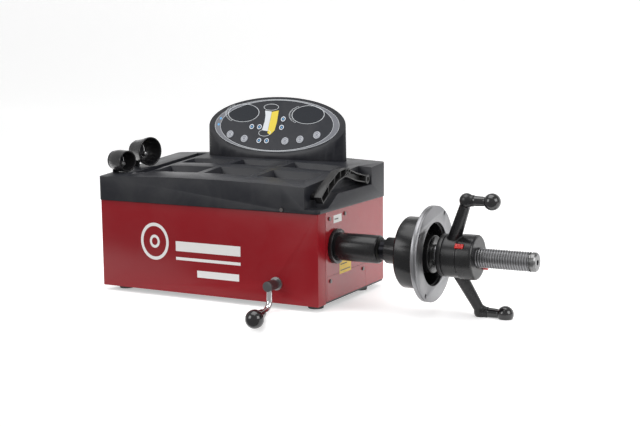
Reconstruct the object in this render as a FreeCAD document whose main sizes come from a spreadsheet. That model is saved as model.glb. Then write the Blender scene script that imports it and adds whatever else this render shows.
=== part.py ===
import FreeCAD, Part
import math
import os
import re
import Sketcher

# Bench-top wheel balancer. Millimetres. +X runs along the spindle towards the wheel,
# +Y to the rear, +Z up. The origin is the centre of the cabinet's footprint, on the
# plane of the feet's soles.

doc = FreeCAD.newDocument("wheel_balancer")
sheet = doc.addObject("Spreadsheet::Sheet", "sizes")

SIZES = {
    # cabinet
    "cabinet_length": 507.0,
    "cabinet_depth": 290.0,
    "cabinet_height": 178.6,
    "sheet_gauge": 1.5,
    "base_gauge": 4.0,
    "base_rim": 18.0,
    "front_return": 32.0,
    "panel_seam": 0.5,
    "side_panel_lift": 4.0,
    "foot_height": 11.0,
    "foot_radius": 17.0,
    "foot_inset_side": 28.0,
    "foot_inset_front": 42.0,
    "foot_inset_rear": 56.0,
    "access_front": 38.0,
    "access_length": 166.0,
    "access_height": 48.0,
    "screw_shank": 2.0,
    "screw_head": 3.8,
    "screw_head_height": 2.2,
    "screw_length": 9.0,
    "screw_gap": 0.25,
    # tray cover
    "tray_overhang": 3.5,
    "tray_lip_gap": 0.4,
    "tray_front": 48.0,
    "tray_rise": 23.0,
    "tray_crown": 7.0,
    "tray_wall": 3.0,
    "tray_corner": 9.0,
    "tray_screw_right": 178.0,
    "tray_screw_left": 170.0,
    "pocket_length": 110.0,
    "pocket_front_depth": 66.0,
    "pocket_rear_depth": 52.0,
    "pocket_pitch": 125.0,
    "pocket_right_x": 143.5,
    "pocket_front_y": -90.0,
    "pocket_rear_y": 12.0,
    "pocket_deep": 27.0,
    "pocket_draft": 8.0,
    "trough_x": -196.0,
    "trough_width": 26.0,
    "trough_front": -100.0,
    "trough_length": 232.0,
    "trough_deep": 14.0,
    # rim distance gauge and its recess
    "recess_width": 30.0,
    "recess_gap": 2.5,
    "recess_sill": 7.0,
    "recess_toe": 40.0,
    "recess_knee": 82.0,
    "gauge_y": 70.0,
    "gauge_z": 233.0,
    "gauge_rod_radius": 4.5,
    "gauge_rod_length": 250.0,
    "gauge_hub_radius": 9.5,
    "gauge_hub_length": 22.0,
    "running_gap": 0.05,
    "arm_width": 15.0,
    "arm_flange": 2.4,
    "finger_radius": 6.5,
    "finger_length": 17.0,
    "finger_out": 10.0,
    "guide_length": 34.0,
    "guide_gap": 110.0,
    # display console
    "console_x": 13.5,
    "console_inset": 27.5,
    "console_half_width": 166.0,
    "console_half_depth": 27.5,
    "console_draft": 2.5,
    "console_base_z": 246.0,
    "console_top_z": 392.0,
    "console_wall": 3.0,
    "console_back": 24.0,
    "head_inset": 15.0,
    "face_z": 331.5,
    "face_slope": 64.8,
    "panel_inset": 13.0,
    "panel_half_height": 60.0,
    "panel_thick": 1.6,
    "window_offset": 79.5,
    "window_up": 26.0,
    "window_half_width": 36.5,
    "window_half_height": 19.5,
    "window_thick": 2.4,
    "key_radius": 8.5,
    "key_proud": 1.4,
    "key_travel": 1.0,
    "arrow_radius": 5.6,
    "arrow_proud": 0.9,
    "key_gap": 0.3,
    "key_depth": 5.0,
    "board_depth": 7.4,
    "board_thick": 1.6,
    "arrow_pitch": 19.0,
    # mains inlet and switch
    "inlet_x": -180.0,
    "inlet_z": 60.0,
    "inlet_width": 28.0,
    "inlet_height": 20.0,
    "inlet_deep": 24.0,
    "switch_x": -130.0,
    "switch_width": 22.0,
    "switch_height": 30.0,
    "switch_deep": 26.0,
    "rocker_radius": 11.0,
    "rocker_width": 16.0,
    "rocker_lean": 8.0,
    # spindle line
    "spindle_inset": 73.6,
    "spindle_z": 118.6,
    "tube_radius": 27.0,
    "tube_inset": 65.5,
    "tube_out": 97.0,
    "tube_chamfer": 3.5,
    "bearing_outer": 23.5,
    "bearing_inner": 12.5,
    "bearing_width": 14.0,
    "bearing_ball": 3.2,
    "bearing_pitch": 18.0,
    "ring_radius": 34.0,
    "ring_width": 8.0,
    "shaft_neck": 20.0,
    "hub_boss": 25.0,
    "hub_gap": 15.0,
    "drum_gap": 53.0,
    "drum_radius": 67.5,
    "drum_length": 46.0,
    "drum_inner": 58.0,
    "drum_floor": 22.0,
    "inner_hub": 36.0,
    "disc_radius": 90.4,
    "disc_opening": 60.0,
    "disc_thick": 12.0,
    "disc_spigot": 63.5,
    "disc_hole_circle": 84.0,
    "disc_hole": 4.0,
    "shaft_radius": 18.0,
    "shaft_out": 406.0,
    "thread_depth": 1.6,
    "thread_pitch": 5.0,
    "shaft_centre_hole": 5.0,
    # brake and encoder
    "brake_radius": 50.0,
    "brake_thick": 8.0,
    "brake_inset": 95.0,
    "encoder_radius": 38.0,
    "encoder_thick": 1.5,
    "encoder_inset": 115.5,
    # quick nut
    "nut_start": 223.0,
    "nut_ring": 10.0,
    "nut_ring_gap": 0.4,
    "nut_sleeve": 40.0,
    "nut_sleeve_length": 29.6,
    "nut_disc": 42.0,
    "nut_disc_length": 31.0,
    "nut_bore_gap": 0.5,
    "arm_lean": 19.4,
    "arm_reach": 116.6,
    "arm_foot_x": 14.0,
    "arm_boss_x": 51.6,
    "arm_boss": 13.5,
    "arm_root": 13.0,
    "arm_neck": 9.5,
    "grip_ball": 15.6,
    "grip_ball_out": 48.0,
    "grip_neck": 8.0,
    "tab_lean": 54.0,
    "tab_width": 9.0,
    "near_tab_length": 16.0,
    "far_tab_length": 27.0,
    "tab_travel": 2.0,
    "tab_gap": 0.5,
    "near_tab_start": 27.0,
    "far_tab_start": 40.0,
    "jaw_start": 8.0,
    "tab_foot": 33.5,
    "tab_proud": 1.0,
    "hoop_inner": 31.0,
    "hoop_outer": 34.5,
    "hoop_near": 33.0,
    "hoop_far": 44.5,
    "hoop_thick": 4.0,
    "jaw_width": 22.0,
    "jaw_length": 22.0,
    "jaw_outer": 26.0,
    # lock lever
    "lever_inset": 91.0,
    "lever_z": 50.0,
    "lever_rod": 6.0,
    "lever_shaft": 6.0,
    "lever_bush": 9.5,
    "lever_hub": 10.0,
    "lever_out": 36.0,
    "lever_drop": 43.0,
    "lever_bend": 22.0,
    "lever_reach": 57.0,
    "lever_dip": 9.5,
    "lever_ball": 18.3,
    "lever_neck": 8.5,
    "lever_collar": 13.0,
    "lever_neck_length": 30.0,
    "lever_cap": 3.0,
    "cam_radius": 7.0,
    "cam_throw": 1.6,
    "shoe_length": 32.0,
    "shoe_lift": 1.5,
    "frame_thick": 8.0,
    "frame_length": 126.0,
    "frame_width": 120.0,
    "upright_thick": 12.0,
    # centring cones on their pegs
    "cone_yaw": -14.0,
    "peg_radius": 5.0,
    "cone_bore": 18.3,
    "stop_lip": 1.5,
    "post_width": 14.0,
    "post_thick": 3.5,
    "post_gap": 2.0,
    "small_cone_x": -213.5,
    "small_cone_y": -102.5,
    "small_cone_radius": 22.0,
    "small_cone_length": 37.0,
    "large_cone_x": -205.0,
    "large_cone_y": -33.5,
    "large_cone_radius": 30.5,
    "large_cone_length": 43.0,
    "small_cone_tail": 21.0,
    "large_cone_tail": 22.5,
    "cone_web": 5.0,
    "cone_wall": 2.6,
}

for row, (name, size) in enumerate(SIZES.items(), start=1):
    sheet.set("A%d" % row, name)
    sheet.set("B%d" % row, str(size))
    sheet.setAlias("B%d" % row, name)
doc.recompute()

NODES = []
TURN = {
    "X": FreeCAD.Rotation(),
    "Y": FreeCAD.Rotation(FreeCAD.Vector(0, 0, 1), 90),
    "Z": FreeCAD.Rotation(FreeCAD.Vector(0, 1, 0), -90),
}
STAND = {
    "X": FreeCAD.Rotation(FreeCAD.Vector(0, 1, 0), 90),
    "Y": FreeCAD.Rotation(FreeCAD.Vector(1, 0, 0), -90),
    "Z": FreeCAD.Rotation(),
}


# Places that move with an overall size
PLACES = {
    "spindle_y": "(spindle_inset - cabinet_depth/2)",
    "console_y": "(cabinet_depth/2 - console_inset)",
    "lever_x": "(cabinet_length/2 - lever_inset)",
    "tube_start": "(cabinet_length/2 - tube_inset)",
    "brake_x": "(cabinet_length/2 - brake_inset)",
    "encoder_x": "(cabinet_length/2 - encoder_inset)",
    "panel_half_width": "(console_half_width - panel_inset)",
}


def linked(text):
    """An expression in which a size name points at its cell and a place name is worked out."""
    def cell(match):
        word = match.group()
        if word in PLACES:
            return linked(PLACES[word])
        return "sizes." + word if word in SIZES else word
    return re.sub(r"[a-z]\w+", cell, str(text))


def bind(item, **sizes):
    for prop, text in sizes.items():
        item.setExpression(prop, linked(text))
    return item


def place(item, at=("0", "0", "0"), turn=None, axis=None, angle=None):
    """Put an item at a bound point, with a fixed turn or a bound angle about an axis."""
    if axis is not None:
        turn = FreeCAD.Rotation(FreeCAD.Vector(*axis), 10)
    item.Placement = FreeCAD.Placement(FreeCAD.Vector(), turn or FreeCAD.Rotation())
    for letter, text in zip("xyz", at):
        item.setExpression("Placement.Base." + letter, linked(text))
    if angle is not None:
        item.setExpression("Placement.Rotation.Angle", linked(angle))
    return item


def box(name, size, at, turn=None):
    item = doc.addObject("Part::Box", name)
    bind(item, Length=size[0], Width=size[1], Height=size[2])
    return place(item, at, turn)


def rod(name, radius, length, at, axis="X"):
    item = doc.addObject("Part::Cylinder", name)
    bind(item, Radius=radius, Height=length)
    return place(item, at, STAND[axis])


def ball(name, radius, at):
    item = doc.addObject("Part::Sphere", name)
    bind(item, Radius=radius)
    return place(item, at)


def fuse(name, *items):
    item = doc.addObject("Part::MultiFuse", name)
    item.Shapes = list(items)
    item.Refine = True
    return item


def cut(name, base, *tools):
    item = doc.addObject("Part::Cut", name)
    item.Base = base
    item.Tool = tools[0] if len(tools) == 1 else fuse(name + "_tools", *tools)
    item.Refine = True
    return item


def common(name, base, tool):
    item = doc.addObject("Part::Common", name)
    item.Base = base
    item.Tool = tool
    return item


def group(name, items):
    item = doc.addObject("Part::Compound", name)
    item.Links = list(items)
    return item


def outline(body, role, points):
    """A closed sketch whose corners are each bound to a pair of expressions."""
    sketch = body.newObject("Sketcher::SketchObject", body.Name + "_outline")
    plane = [item for item in body.Origin.OriginFeatures if item.Role == role][0]
    sketch.AttachmentSupport = [(plane, "")]
    sketch.MapMode = "FlatFace"
    count = len(points)
    start = [FreeCAD.Vector(i + 1, (i * i) % 5 + 1, 0) for i in range(count)]
    for i in range(count):
        sketch.addGeometry(Part.LineSegment(start[i], start[(i + 1) % count]), False)
    for i in range(count):
        sketch.addConstraint(Sketcher.Constraint("Coincident", i, 2, (i + 1) % count, 1))
    for i, pair in enumerate(points):
        for kind, text, first in zip(("DistanceX", "DistanceY"), pair, start[i]):
            index = sketch.addConstraint(Sketcher.Constraint(kind, -1, 1, i, 1, first))
            sketch.setExpression("Constraints[%d]" % index, linked(text))
    return sketch


def turned(name, points, at=("0", "0", "0"), axis="X"):
    """A turned piece: its half section, given as (along, radius), spun about its axis."""
    body = doc.addObject("PartDesign::Body", name)
    sketch = outline(body, "XZ_Plane", points)
    spin = body.newObject("PartDesign::Revolution", name + "_spin")
    spin.Profile = sketch
    spin.ReferenceAxis = (sketch, ["H_Axis"])
    spin.Angle = 360
    return place(body, at, TURN[axis])


def plate(name, points, thick, role="YZ_Plane", at=("0", "0", "0")):
    """A flat piece: an outline padded by its thickness."""
    body = doc.addObject("PartDesign::Body", name)
    sketch = outline(body, role, points)
    pad = body.newObject("PartDesign::Pad", name + "_pad")
    pad.Profile = sketch
    bind(pad, Length=thick)
    return place(body, at)


def node(item, label):
    item.Label = label
    NODES.append(item)
    return item


# Places that several pieces share
SIDE = "cabinet_length/2"
FRONT = "cabinet_depth/2"
TOP = "(foot_height + cabinet_height)"
LIP = "(foot_height + cabinet_height + tray_lip_gap)"
TRAY_LENGTH = "(cabinet_length + 2*tray_overhang)"
TRAY_DEPTH = "(cabinet_depth + 2*tray_overhang)"
TRAY_SLOPE = "atan(tray_rise/" + TRAY_DEPTH + ")"
SPINDLE = ("spindle_y", "spindle_z")


def tray_top(x, y):
    """Height of the crowned, sloping tray surface above the point x, y."""
    rise = "tray_rise*((%s) + %s/2)/%s" % (y, TRAY_DEPTH, TRAY_DEPTH)
    crown = "tray_crown*(1 - (2*(%s)/%s)^2)" % (x, TRAY_LENGTH)
    return "(%s + tray_front + %s + %s)" % (LIP, rise, crown)


# ---------------------------------------------------------------- cabinet of folded sheet
foot_spots = [(sx, sy) for sx in ("-(%s - foot_inset_side)" % SIDE, "(%s - foot_inset_side)" % SIDE)
              for sy in ("-(%s - foot_inset_front)" % FRONT, "(%s - foot_inset_rear)" % FRONT)]

base_span = "cabinet_length - 2*sheet_gauge - 2*panel_seam"
base_deep = "cabinet_depth - 2*sheet_gauge - 2*panel_seam"
base_outer = box("base_outer", (base_span, base_deep, "base_rim"),
                 ("-(%s)/2" % base_span, "-(%s)/2" % base_deep, "foot_height"))
base_inner = box("base_inner",
                 (base_span + " - 2*base_gauge", base_deep + " - 2*base_gauge", "base_rim"),
                 ("-(%s)/2 + base_gauge" % base_span, "-(%s)/2 + base_gauge" % base_deep,
                  "foot_height + base_gauge"))
node(cut("base_pan", base_outer, base_inner), "base_plate")

feet = []
for index, (sx, sy) in enumerate(foot_spots):
    pad = doc.addObject("Part::Cone", "foot_pad_%d" % index)
    bind(pad, Radius1="foot_radius - 2", Radius2="foot_radius", Height="foot_height")
    place(pad, (sx, sy, "0"))
    well = rod("foot_well_%d" % index, "foot_radius/3", "foot_height/2", (sx, sy, "-0.01"), "Z")
    feet.append(cut("foot_%d" % index, pad, well))
node(group("feet", feet), "rubber_feet")

front_outer = box("front_outer", ("cabinet_length", "front_return", "cabinet_height"),
                  ("-" + SIDE, "-" + FRONT, "foot_height"))
front_inner = box("front_inner", ("cabinet_length - 2*sheet_gauge", "front_return", "cabinet_height + 2"),
                  ("-%s + sheet_gauge" % SIDE, "-%s + sheet_gauge" % FRONT, "foot_height - 1"))
lever_hole = rod("lever_hole", "lever_bush + running_gap", "front_return",
                 ("lever_x", "-%s - 5" % FRONT, "lever_z"), "Y")
node(cut("front_shell", front_outer, front_inner, lever_hole), "front_cover")

side_length = "cabinet_depth - front_return - sheet_gauge - 2*panel_seam"
side_front = "(-%s + front_return + panel_seam)" % FRONT
side_low = "foot_height + side_panel_lift"
side_high = "cabinet_height - side_panel_lift"
access_low = "foot_height + side_panel_lift"
access_front = "(-%s + access_front)" % FRONT

screw_spots = {
    "right": [("%s + 15" % side_front, TOP + " - 14.6"), ("%s + 80" % side_front, TOP + " - 12.6")],
    "access": [(access_front + " + 12", access_low + " + access_height - 10"),
               (access_front + " + access_length - 12", access_low + " + access_height - 10")],
    "left": [("%s + 15" % side_front, TOP + " - 12"), ("%s - 20" % FRONT, TOP + " - 12")],
}
screws = []


def screw(name, at, axis, out):
    """A pan head screw driven along an axis; out is the way its head faces, +1 or -1."""
    start = {"X": 0, "Y": 1}[axis]
    head_at = list(at)
    shank_at = list(at)
    if out < 0:
        head_at[start] += " - screw_head_height"
    else:
        shank_at[start] += " - screw_length"
    head = rod(name + "_head", "screw_head", "screw_head_height", head_at, axis)
    shank = rod(name + "_shank", "screw_shank", "screw_length", shank_at, axis)
    screws.append(fuse(name, head, shank))
    hole_at = list(at)
    hole_at[start] += " - screw_length"
    return rod(name + "_hole", "screw_shank + screw_gap", "2*screw_length", hole_at, axis)


right_holes = [screw("right_screw_%d" % i, (SIDE, y, z), "X", 1)
               for i, (y, z) in enumerate(screw_spots["right"])]
access_holes = [screw("access_screw_%d" % i, (SIDE, y, z), "X", 1)
                for i, (y, z) in enumerate(screw_spots["access"])]
left_holes = [screw("left_screw_%d" % i, ("-" + SIDE, y, z), "X", -1)
              for i, (y, z) in enumerate(screw_spots["left"])]

right_blank = box("right_blank", ("sheet_gauge", side_length, side_high),
                  (SIDE + " - sheet_gauge", side_front, side_low))
tube_hole = rod("tube_hole", "tube_radius + 1.5", "20", (SIDE + " - 10",) + SPINDLE)
access_hole = box("access_hole", ("20", "access_length + 2*panel_seam", "access_height + 2*panel_seam"),
                  (SIDE + " - 10", access_front + " - panel_seam", access_low + " - panel_seam"))
node(cut("right_panel", right_blank, tube_hole, access_hole, *right_holes), "right_side_panel")

access_blank = box("access_blank", ("sheet_gauge", "access_length", "access_height"),
                   (SIDE + " - sheet_gauge", access_front, access_low))
node(cut("access_sheet", access_blank, *access_holes), "access_plate")

left_blank = box("left_blank", ("sheet_gauge", side_length, side_high),
                 ("-" + SIDE, side_front, side_low))
node(cut("left_panel", left_blank, *left_holes), "left_side_panel")

rear_blank = box("rear_blank", ("cabinet_length - 2*panel_seam", "sheet_gauge", side_high),
                 ("-%s + panel_seam" % SIDE, FRONT + " - sheet_gauge", side_low))
slots = [box("vent_%d" % i, ("4", "20", "46"), ("60 + %d" % (12 * i), FRONT + " - 10", "foot_height + 90"))
         for i in range(12)]
inlet_cutout = box("inlet_cutout",
                   ("inlet_width + 2*panel_seam", "20", "inlet_height + 2*panel_seam"),
                   ("inlet_x - inlet_width/2 - panel_seam", FRONT + " - 10",
                    "inlet_z - inlet_height/2 - panel_seam"))
switch_cutout = box("switch_cutout",
                    ("switch_width + 2*panel_seam", "20", "switch_height + 2*panel_seam"),
                    ("switch_x - switch_width/2 - panel_seam", FRONT + " - 10",
                     "inlet_z - switch_height/2 - panel_seam"))
rear_holes = [screw("rear_screw_%d" % i, (x, FRONT, TOP + " - 14"), "Y", 1)
              for i, x in enumerate(("-%s + 30" % SIDE, "0", SIDE + " - 30"))]
node(cut("rear_sheet", rear_blank, inlet_cutout, switch_cutout, *(slots + rear_holes)), "rear_panel")

# ---------------------------------------------------------------- mains inlet and switch
inlet_collar = box("inlet_collar", ("inlet_width + 8", "2", "inlet_height + 6"),
                   ("inlet_x - inlet_width/2 - 4", FRONT, "inlet_z - inlet_height/2 - 3"))
inlet_block = box("inlet_block", ("inlet_width", "inlet_deep", "inlet_height"),
                  ("inlet_x - inlet_width/2", FRONT + " - inlet_deep + 1", "inlet_z - inlet_height/2"))
inlet_well = box("inlet_well", ("inlet_width - 5", "inlet_deep", "inlet_height - 5"),
                 ("inlet_x - inlet_width/2 + 2.5", FRONT + " - inlet_deep + 6",
                  "inlet_z - inlet_height/2 + 2.5"))
inlet_shell = cut("inlet_shell", fuse("inlet_body", inlet_collar, inlet_block), inlet_well)
inlet_pins = [box("inlet_pin_%d" % i, ("2", "13", "4"),
                  ("inlet_x - 1 + %d" % dx, FRONT + " - inlet_deep + 5", "inlet_z - 2 + %d" % dz))
              for i, (dx, dz) in enumerate(((-7, -1), (0, 2), (7, -1)))]
node(fuse("inlet", inlet_shell, *inlet_pins), "power_inlet")

switch_collar = box("switch_collar", ("switch_width + 5", "2", "switch_height + 5"),
                    ("switch_x - switch_width/2 - 2.5", FRONT, "inlet_z - switch_height/2 - 2.5"))
switch_block = box("switch_block", ("switch_width", "switch_deep", "switch_height"),
                   ("switch_x - switch_width/2", FRONT + " - switch_deep + 1", "inlet_z - switch_height/2"))
switch_well = box("switch_well", ("rocker_width + 0.8", "switch_deep", "2*rocker_radius + 0.8"),
                  ("switch_x - rocker_width/2 - 0.4", FRONT + " - rocker_radius - 2.4",
                   "inlet_z - rocker_radius - 0.4"))
node(cut("switch_case", fuse("switch_body", switch_collar, switch_block), switch_well), "switch_housing")

rocker_round = rod("rocker_round", "rocker_radius", "rocker_width",
                   ("switch_x - rocker_width/2", FRONT + " - 1.6", "inlet_z"), "X")
rocker_flat = doc.addObject("Part::Box", "rocker_flat")
bind(rocker_flat, Length="rocker_width + 4", Width="rocker_radius", Height="4*rocker_radius")
place(rocker_flat, ("switch_x - rocker_width/2 - 2", FRONT + " + 1.6", "inlet_z - 1.6*rocker_radius"),
      axis=(1, 0, 0), angle="rocker_lean")
node(cut("rocker", rocker_round, rocker_flat), "power_rocker")

# ---------------------------------------------------------------- moulded tray cover


def tray_block(name, inset, drop, low, high="200"):
    """The tray's outer form: a round-cornered block under a sloping, crowned surface."""
    blank = box(name + "_blank",
                ("%s - 2*(%s)" % (TRAY_LENGTH, inset), "%s - 2*(%s)" % (TRAY_DEPTH, inset), high),
                ("-%s/2 + (%s)" % (TRAY_LENGTH, inset), "-%s/2 + (%s)" % (TRAY_DEPTH, inset), low))
    doc.recompute()
    upright = [i for i, edge in enumerate(blank.Shape.Edges, start=1)
               if abs(edge.tangentAt(edge.FirstParameter).z) > 0.9]
    rounded = doc.addObject("Part::Fillet", name + "_rounded")
    rounded.Base = blank
    corner = sheet.get("tray_corner")
    rounded.Edges = [(i, corner, corner) for i in upright]
    crown = doc.addObject("Part::Cylinder", name + "_crown")
    crown_radius = "((%s^2/4 + tray_crown^2)/(2*tray_crown))" % TRAY_LENGTH
    bind(crown, Radius="%s - (%s)" % (crown_radius, drop), Height="8*cabinet_depth")
    place(crown, ("0", "-%s/2" % TRAY_DEPTH, "%s + tray_front + tray_crown - %s/cos(%s)"
                  % (LIP, crown_radius, TRAY_SLOPE)), axis=(1, 0, 0), angle=TRAY_SLOPE + " - 90 deg")
    return common(name, rounded, crown)


def wedge(name, half_x, half_y, deep, draft, grow, at):
    """A draughted cup: its floor is draft smaller all round than its mouth, deep above it."""
    item = doc.addObject("Part::Wedge", name)
    reach = 24.0
    spread = "(%s)*%s/(%s)" % (draft, reach, deep)
    bind(item, Xmin="-(%s - %s + %s)" % (half_x, draft, grow), Xmax="%s - %s + %s" % (half_x, draft, grow),
         Zmin="-(%s - %s + %s)" % (half_y, draft, grow), Zmax="%s - %s + %s" % (half_y, draft, grow),
         X2min="-(%s + %s + %s)" % (half_x, spread, grow), X2max="%s + %s + %s" % (half_x, spread, grow),
         Z2min="-(%s + %s + %s)" % (half_y, spread, grow), Z2max="%s + %s + %s" % (half_y, spread, grow),
         Ymin="-(%s)" % grow, Ymax="%s + %s" % (deep, reach))
    return place(item, at, FreeCAD.Rotation(FreeCAD.Vector(1, 0, 0), 90))


def recess(name, grow, out):
    """The gauge arm's parking recess, open to the right, the top and the front."""
    front = "(-%s/2)" % TRAY_DEPTH
    sill = "(%s + recess_sill - %s)" % (LIP, grow)
    floor = "(gauge_z - gauge_hub_radius - recess_gap - %s)" % grow
    rear = "(gauge_y + gauge_hub_radius + recess_gap + %s)" % grow
    points = [(front + " - %s" % out, sill), (front + " + recess_toe + %s/2" % grow, sill),
              (front + " + recess_knee", floor), (rear, floor), (rear, "400"), (front + " - %s" % out, "400")]
    return plate(name, points, "recess_width + %s + 20" % grow,
                 at=("%s/2 - recess_width - %s" % (TRAY_LENGTH, grow), "0", "0"))


tray_outer = tray_block("tray_outer", "0", "0", LIP)
tray_inner = tray_block("tray_inner", "tray_wall", "tray_wall", LIP + " - 1")

cups = []
cup_walls = []
for column in range(3):
    for row_name in ("front", "rear"):
        x = "(pocket_right_x - %d*pocket_pitch)" % column
        y = "(pocket_%s_y + pocket_%s_depth/2)" % (row_name, row_name)
        floor = "%s - pocket_deep" % tray_top(x, y)
        size = ("pocket_length/2", "pocket_%s_depth/2" % row_name, "pocket_deep", "pocket_draft")
        tag = "%s_%d" % (row_name, column)
        cups.append(wedge("pocket_" + tag, *size, "0", (x, y, floor)))
        cup_walls.append(wedge("pocket_wall_" + tag, *size, "tray_wall", (x, y, floor)))


def trough(name, grow):
    """The long tool trough, its floor parallel to the sloping surface."""
    item = doc.addObject("Part::Box", name)
    bind(item, Length="trough_width + 2*%s" % grow, Width="trough_length + 2*%s" % grow,
         Height="trough_deep + 30 + %s" % grow)
    return place(item, ("trough_x - %s" % grow, "trough_front - %s" % grow,
                        "%s - trough_deep - %s"
                        % (tray_top("trough_x + trough_width/2", "trough_front"), grow)),
                 axis=(1, 0, 0), angle=TRAY_SLOPE)


tray_cavity = cut("tray_cavity", tray_inner, recess("recess_wall", "tray_wall", "20"),
                  trough("trough_wall", "tray_wall"), *cup_walls)
tray_hollow = cut("tray_hollow", tray_outer, tray_cavity)

# The two posts that hold the cone pegs are moulded on the tray's left edge


def yawed(x, y, along, across):
    """The point reached from x, y by going along and across the cones' turned axis."""
    return ("(%s) + (%s)*cos(cone_yaw) - (%s)*sin(cone_yaw)" % (x, along, across),
            "(%s) + (%s)*sin(cone_yaw) + (%s)*cos(cone_yaw)" % (y, along, across))


posts = []
peg_holes = []
pegs = []
for size in ("small", "large"):
    x = size + "_cone_x"
    y = size + "_cone_y"
    radius = size + "_cone_radius"
    length = size + "_cone_length"
    axis_z = "(%s + %s + 1)" % (tray_top(x, y), radius)
    peg_z = "(%s - 6)" % axis_z
    tail = "-(%s + post_gap + post_thick)" % length
    post = doc.addObject("Part::Box", size + "_post")
    foot = "(%s - 4)" % tray_top("-%s/2" % TRAY_LENGTH, y)
    bind(post, Length="post_thick", Width="post_width", Height="%s - %s + 8" % (peg_z, foot))
    place(post, yawed(x, y, tail, "-post_width/2") + (foot,), axis=(0, 0, 1), angle="cone_yaw")
    stop = doc.addObject("Part::Cylinder", size + "_stop")
    bind(stop, Radius="cone_bore + stop_lip", Height="post_thick")
    stop_foot = group(size + "_stop_turned", [place(stop, turn=STAND["X"])])
    place(stop_foot, yawed(x, y, tail, "0") + (axis_z,), axis=(0, 0, 1), angle="cone_yaw")
    posts += [post, stop_foot]
    for name, extra, store in (("peg", "0", pegs), ("peg_hole", "0.02", peg_holes)):
        item = turned("%s_%s" % (size, name),
                      [("0", "0"), ("0", "peg_radius + %s" % extra),
                       ("%s - 9" % length, "peg_radius + %s" % extra), ("%s - 7" % length, "peg_radius - 2"),
                       ("%s - 7" % length, "0")])
        place(item, yawed(x, y, tail, "0") + (peg_z,), axis=(0, 0, 1), angle="cone_yaw")
        store.append(item)
    shell = [("-" + length, "cone_bore"), ("-" + length, "%s_cone_tail" % size),
             ("-%s + 12" % length, "%s_cone_tail + 1.5" % size), ("-3", radius), ("0", radius),
             ("0", radius + " - cone_wall"), ("-4", radius + " - cone_wall"),
             ("-%s + cone_web" % length, "%s_cone_tail - cone_wall + 0.6" % size),
             ("-%s + cone_web" % length, "cone_bore")]
    cone = turned(size + "_cone_shell", shell)
    place(cone, (x, y, axis_z), axis=(0, 0, 1), angle="cone_yaw")
    node(cone, size + "_cone")


tray_holes = []
tray_screws = [("tray_screw_right", "-%s/2" % TRAY_DEPTH, -1), ("-tray_screw_left", "%s/2" % TRAY_DEPTH, 1),
               ("tray_screw_right", "%s/2" % TRAY_DEPTH, 1)]
for index, (x, y, out) in enumerate(tray_screws):
    tray_holes.append(screw("tray_screw_%d" % index, (x, y, LIP + " + 5"), "Y", out))

tray_body = fuse("tray_body", tray_hollow, *posts)
rod_hole = rod("gauge_rod_hole", "gauge_rod_radius + 0.6", "recess_width + 20",
               ("%s/2 - recess_width - 20" % TRAY_LENGTH, "gauge_y", "gauge_z"))
cable_hole = rod("console_cable_hole", "9", "80", ("console_x + 60", "console_y", LIP + " + 20"), "Z")
tray_rooms = [recess("recess_room", "0", "20"), trough("trough_room", "0"), rod_hole, cable_hole]
node(cut("tray", tray_body, *(tray_rooms + cups + peg_holes + tray_holes)), "tray_cover")
node(group("peg_pair", pegs), "cone_pegs")
node(group("screw_set", screws), "panel_screws")

# ---------------------------------------------------------------- rim distance gauge
gauge_at = ("gauge_y", "gauge_z")
rod_end = "(%s - 2)" % SIDE
node(turned("gauge_bar", [("0", "0"), ("0", "gauge_rod_radius"), ("gauge_rod_length", "gauge_rod_radius"),
                          ("gauge_rod_length", "0")],
            at=(rod_end + " - gauge_rod_length",) + gauge_at), "gauge_rod")

guides = []
for index in range(2):
    x = "(%s/2 - recess_width - tray_wall - 4 - guide_length - %d*guide_gap)" % (TRAY_LENGTH, index)
    block = box("guide_block_%d" % index,
                ("guide_length", "2*gauge_rod_radius + 5", "2*gauge_rod_radius + 9"),
                (x, "gauge_y - gauge_rod_radius - 1.5", "gauge_z - gauge_rod_radius - 7"))
    hanger = box("guide_hanger_%d" % index, ("guide_length - 16", "9", "%s - tray_wall - gauge_z - 6.3"
                                             % tray_top(x + " + guide_length", "gauge_y")),
                 (x + " + 8", "gauge_y - 1", "gauge_z + 6"))
    bore = rod("guide_bore_%d" % index, "gauge_rod_radius + running_gap", "guide_length + 2",
               (x + " - 1",) + gauge_at)
    guides.append(cut("guide_%d" % index, fuse("guide_form_%d" % index, block, hanger), bore))
node(group("guide_pair", guides), "gauge_guides")

arm_points = [("gauge_y + 6", "gauge_z + 6"), ("gauge_y - 50", "gauge_z + 19"),
              ("gauge_y - 84", "gauge_z + 31"), ("gauge_y - 100", "gauge_z + 33"),
              ("gauge_y - 128", "gauge_z + 30"), ("gauge_y - 170", "gauge_z + 10"),
              ("gauge_y - 201", "gauge_z - 13"), ("gauge_y - 191", "gauge_z - 26"),
              ("gauge_y - 160", "gauge_z - 6"), ("gauge_y - 128", "gauge_z + 10"),
              ("gauge_y - 96", "gauge_z + 16"), ("gauge_y - 50", "gauge_z + 2"),
              ("gauge_y + 2", "gauge_z - 8")]
arm_at = ("%s - arm_width" % SIDE, "0", "0")
arm_blank = plate("arm_blank", arm_points, "arm_width", at=arm_at)
arm_solid = plate("arm_solid", arm_points, "arm_width", at=arm_at)
doc.recompute()
open_face = [i for i, face in enumerate(arm_solid.Shape.Faces, start=1)
             if abs(face.CenterOfMass.x - arm_solid.Shape.BoundBox.XMax) < 0.01][0]
arm_shell = doc.addObject("Part::Thickness", "arm_shell")
arm_shell.Faces = (arm_solid, ["Face%d" % open_face])
arm_shell.Mode = "Skin"
arm_shell.Join = "Intersection"
bind(arm_shell, Value="-arm_flange")
ribs = []
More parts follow.
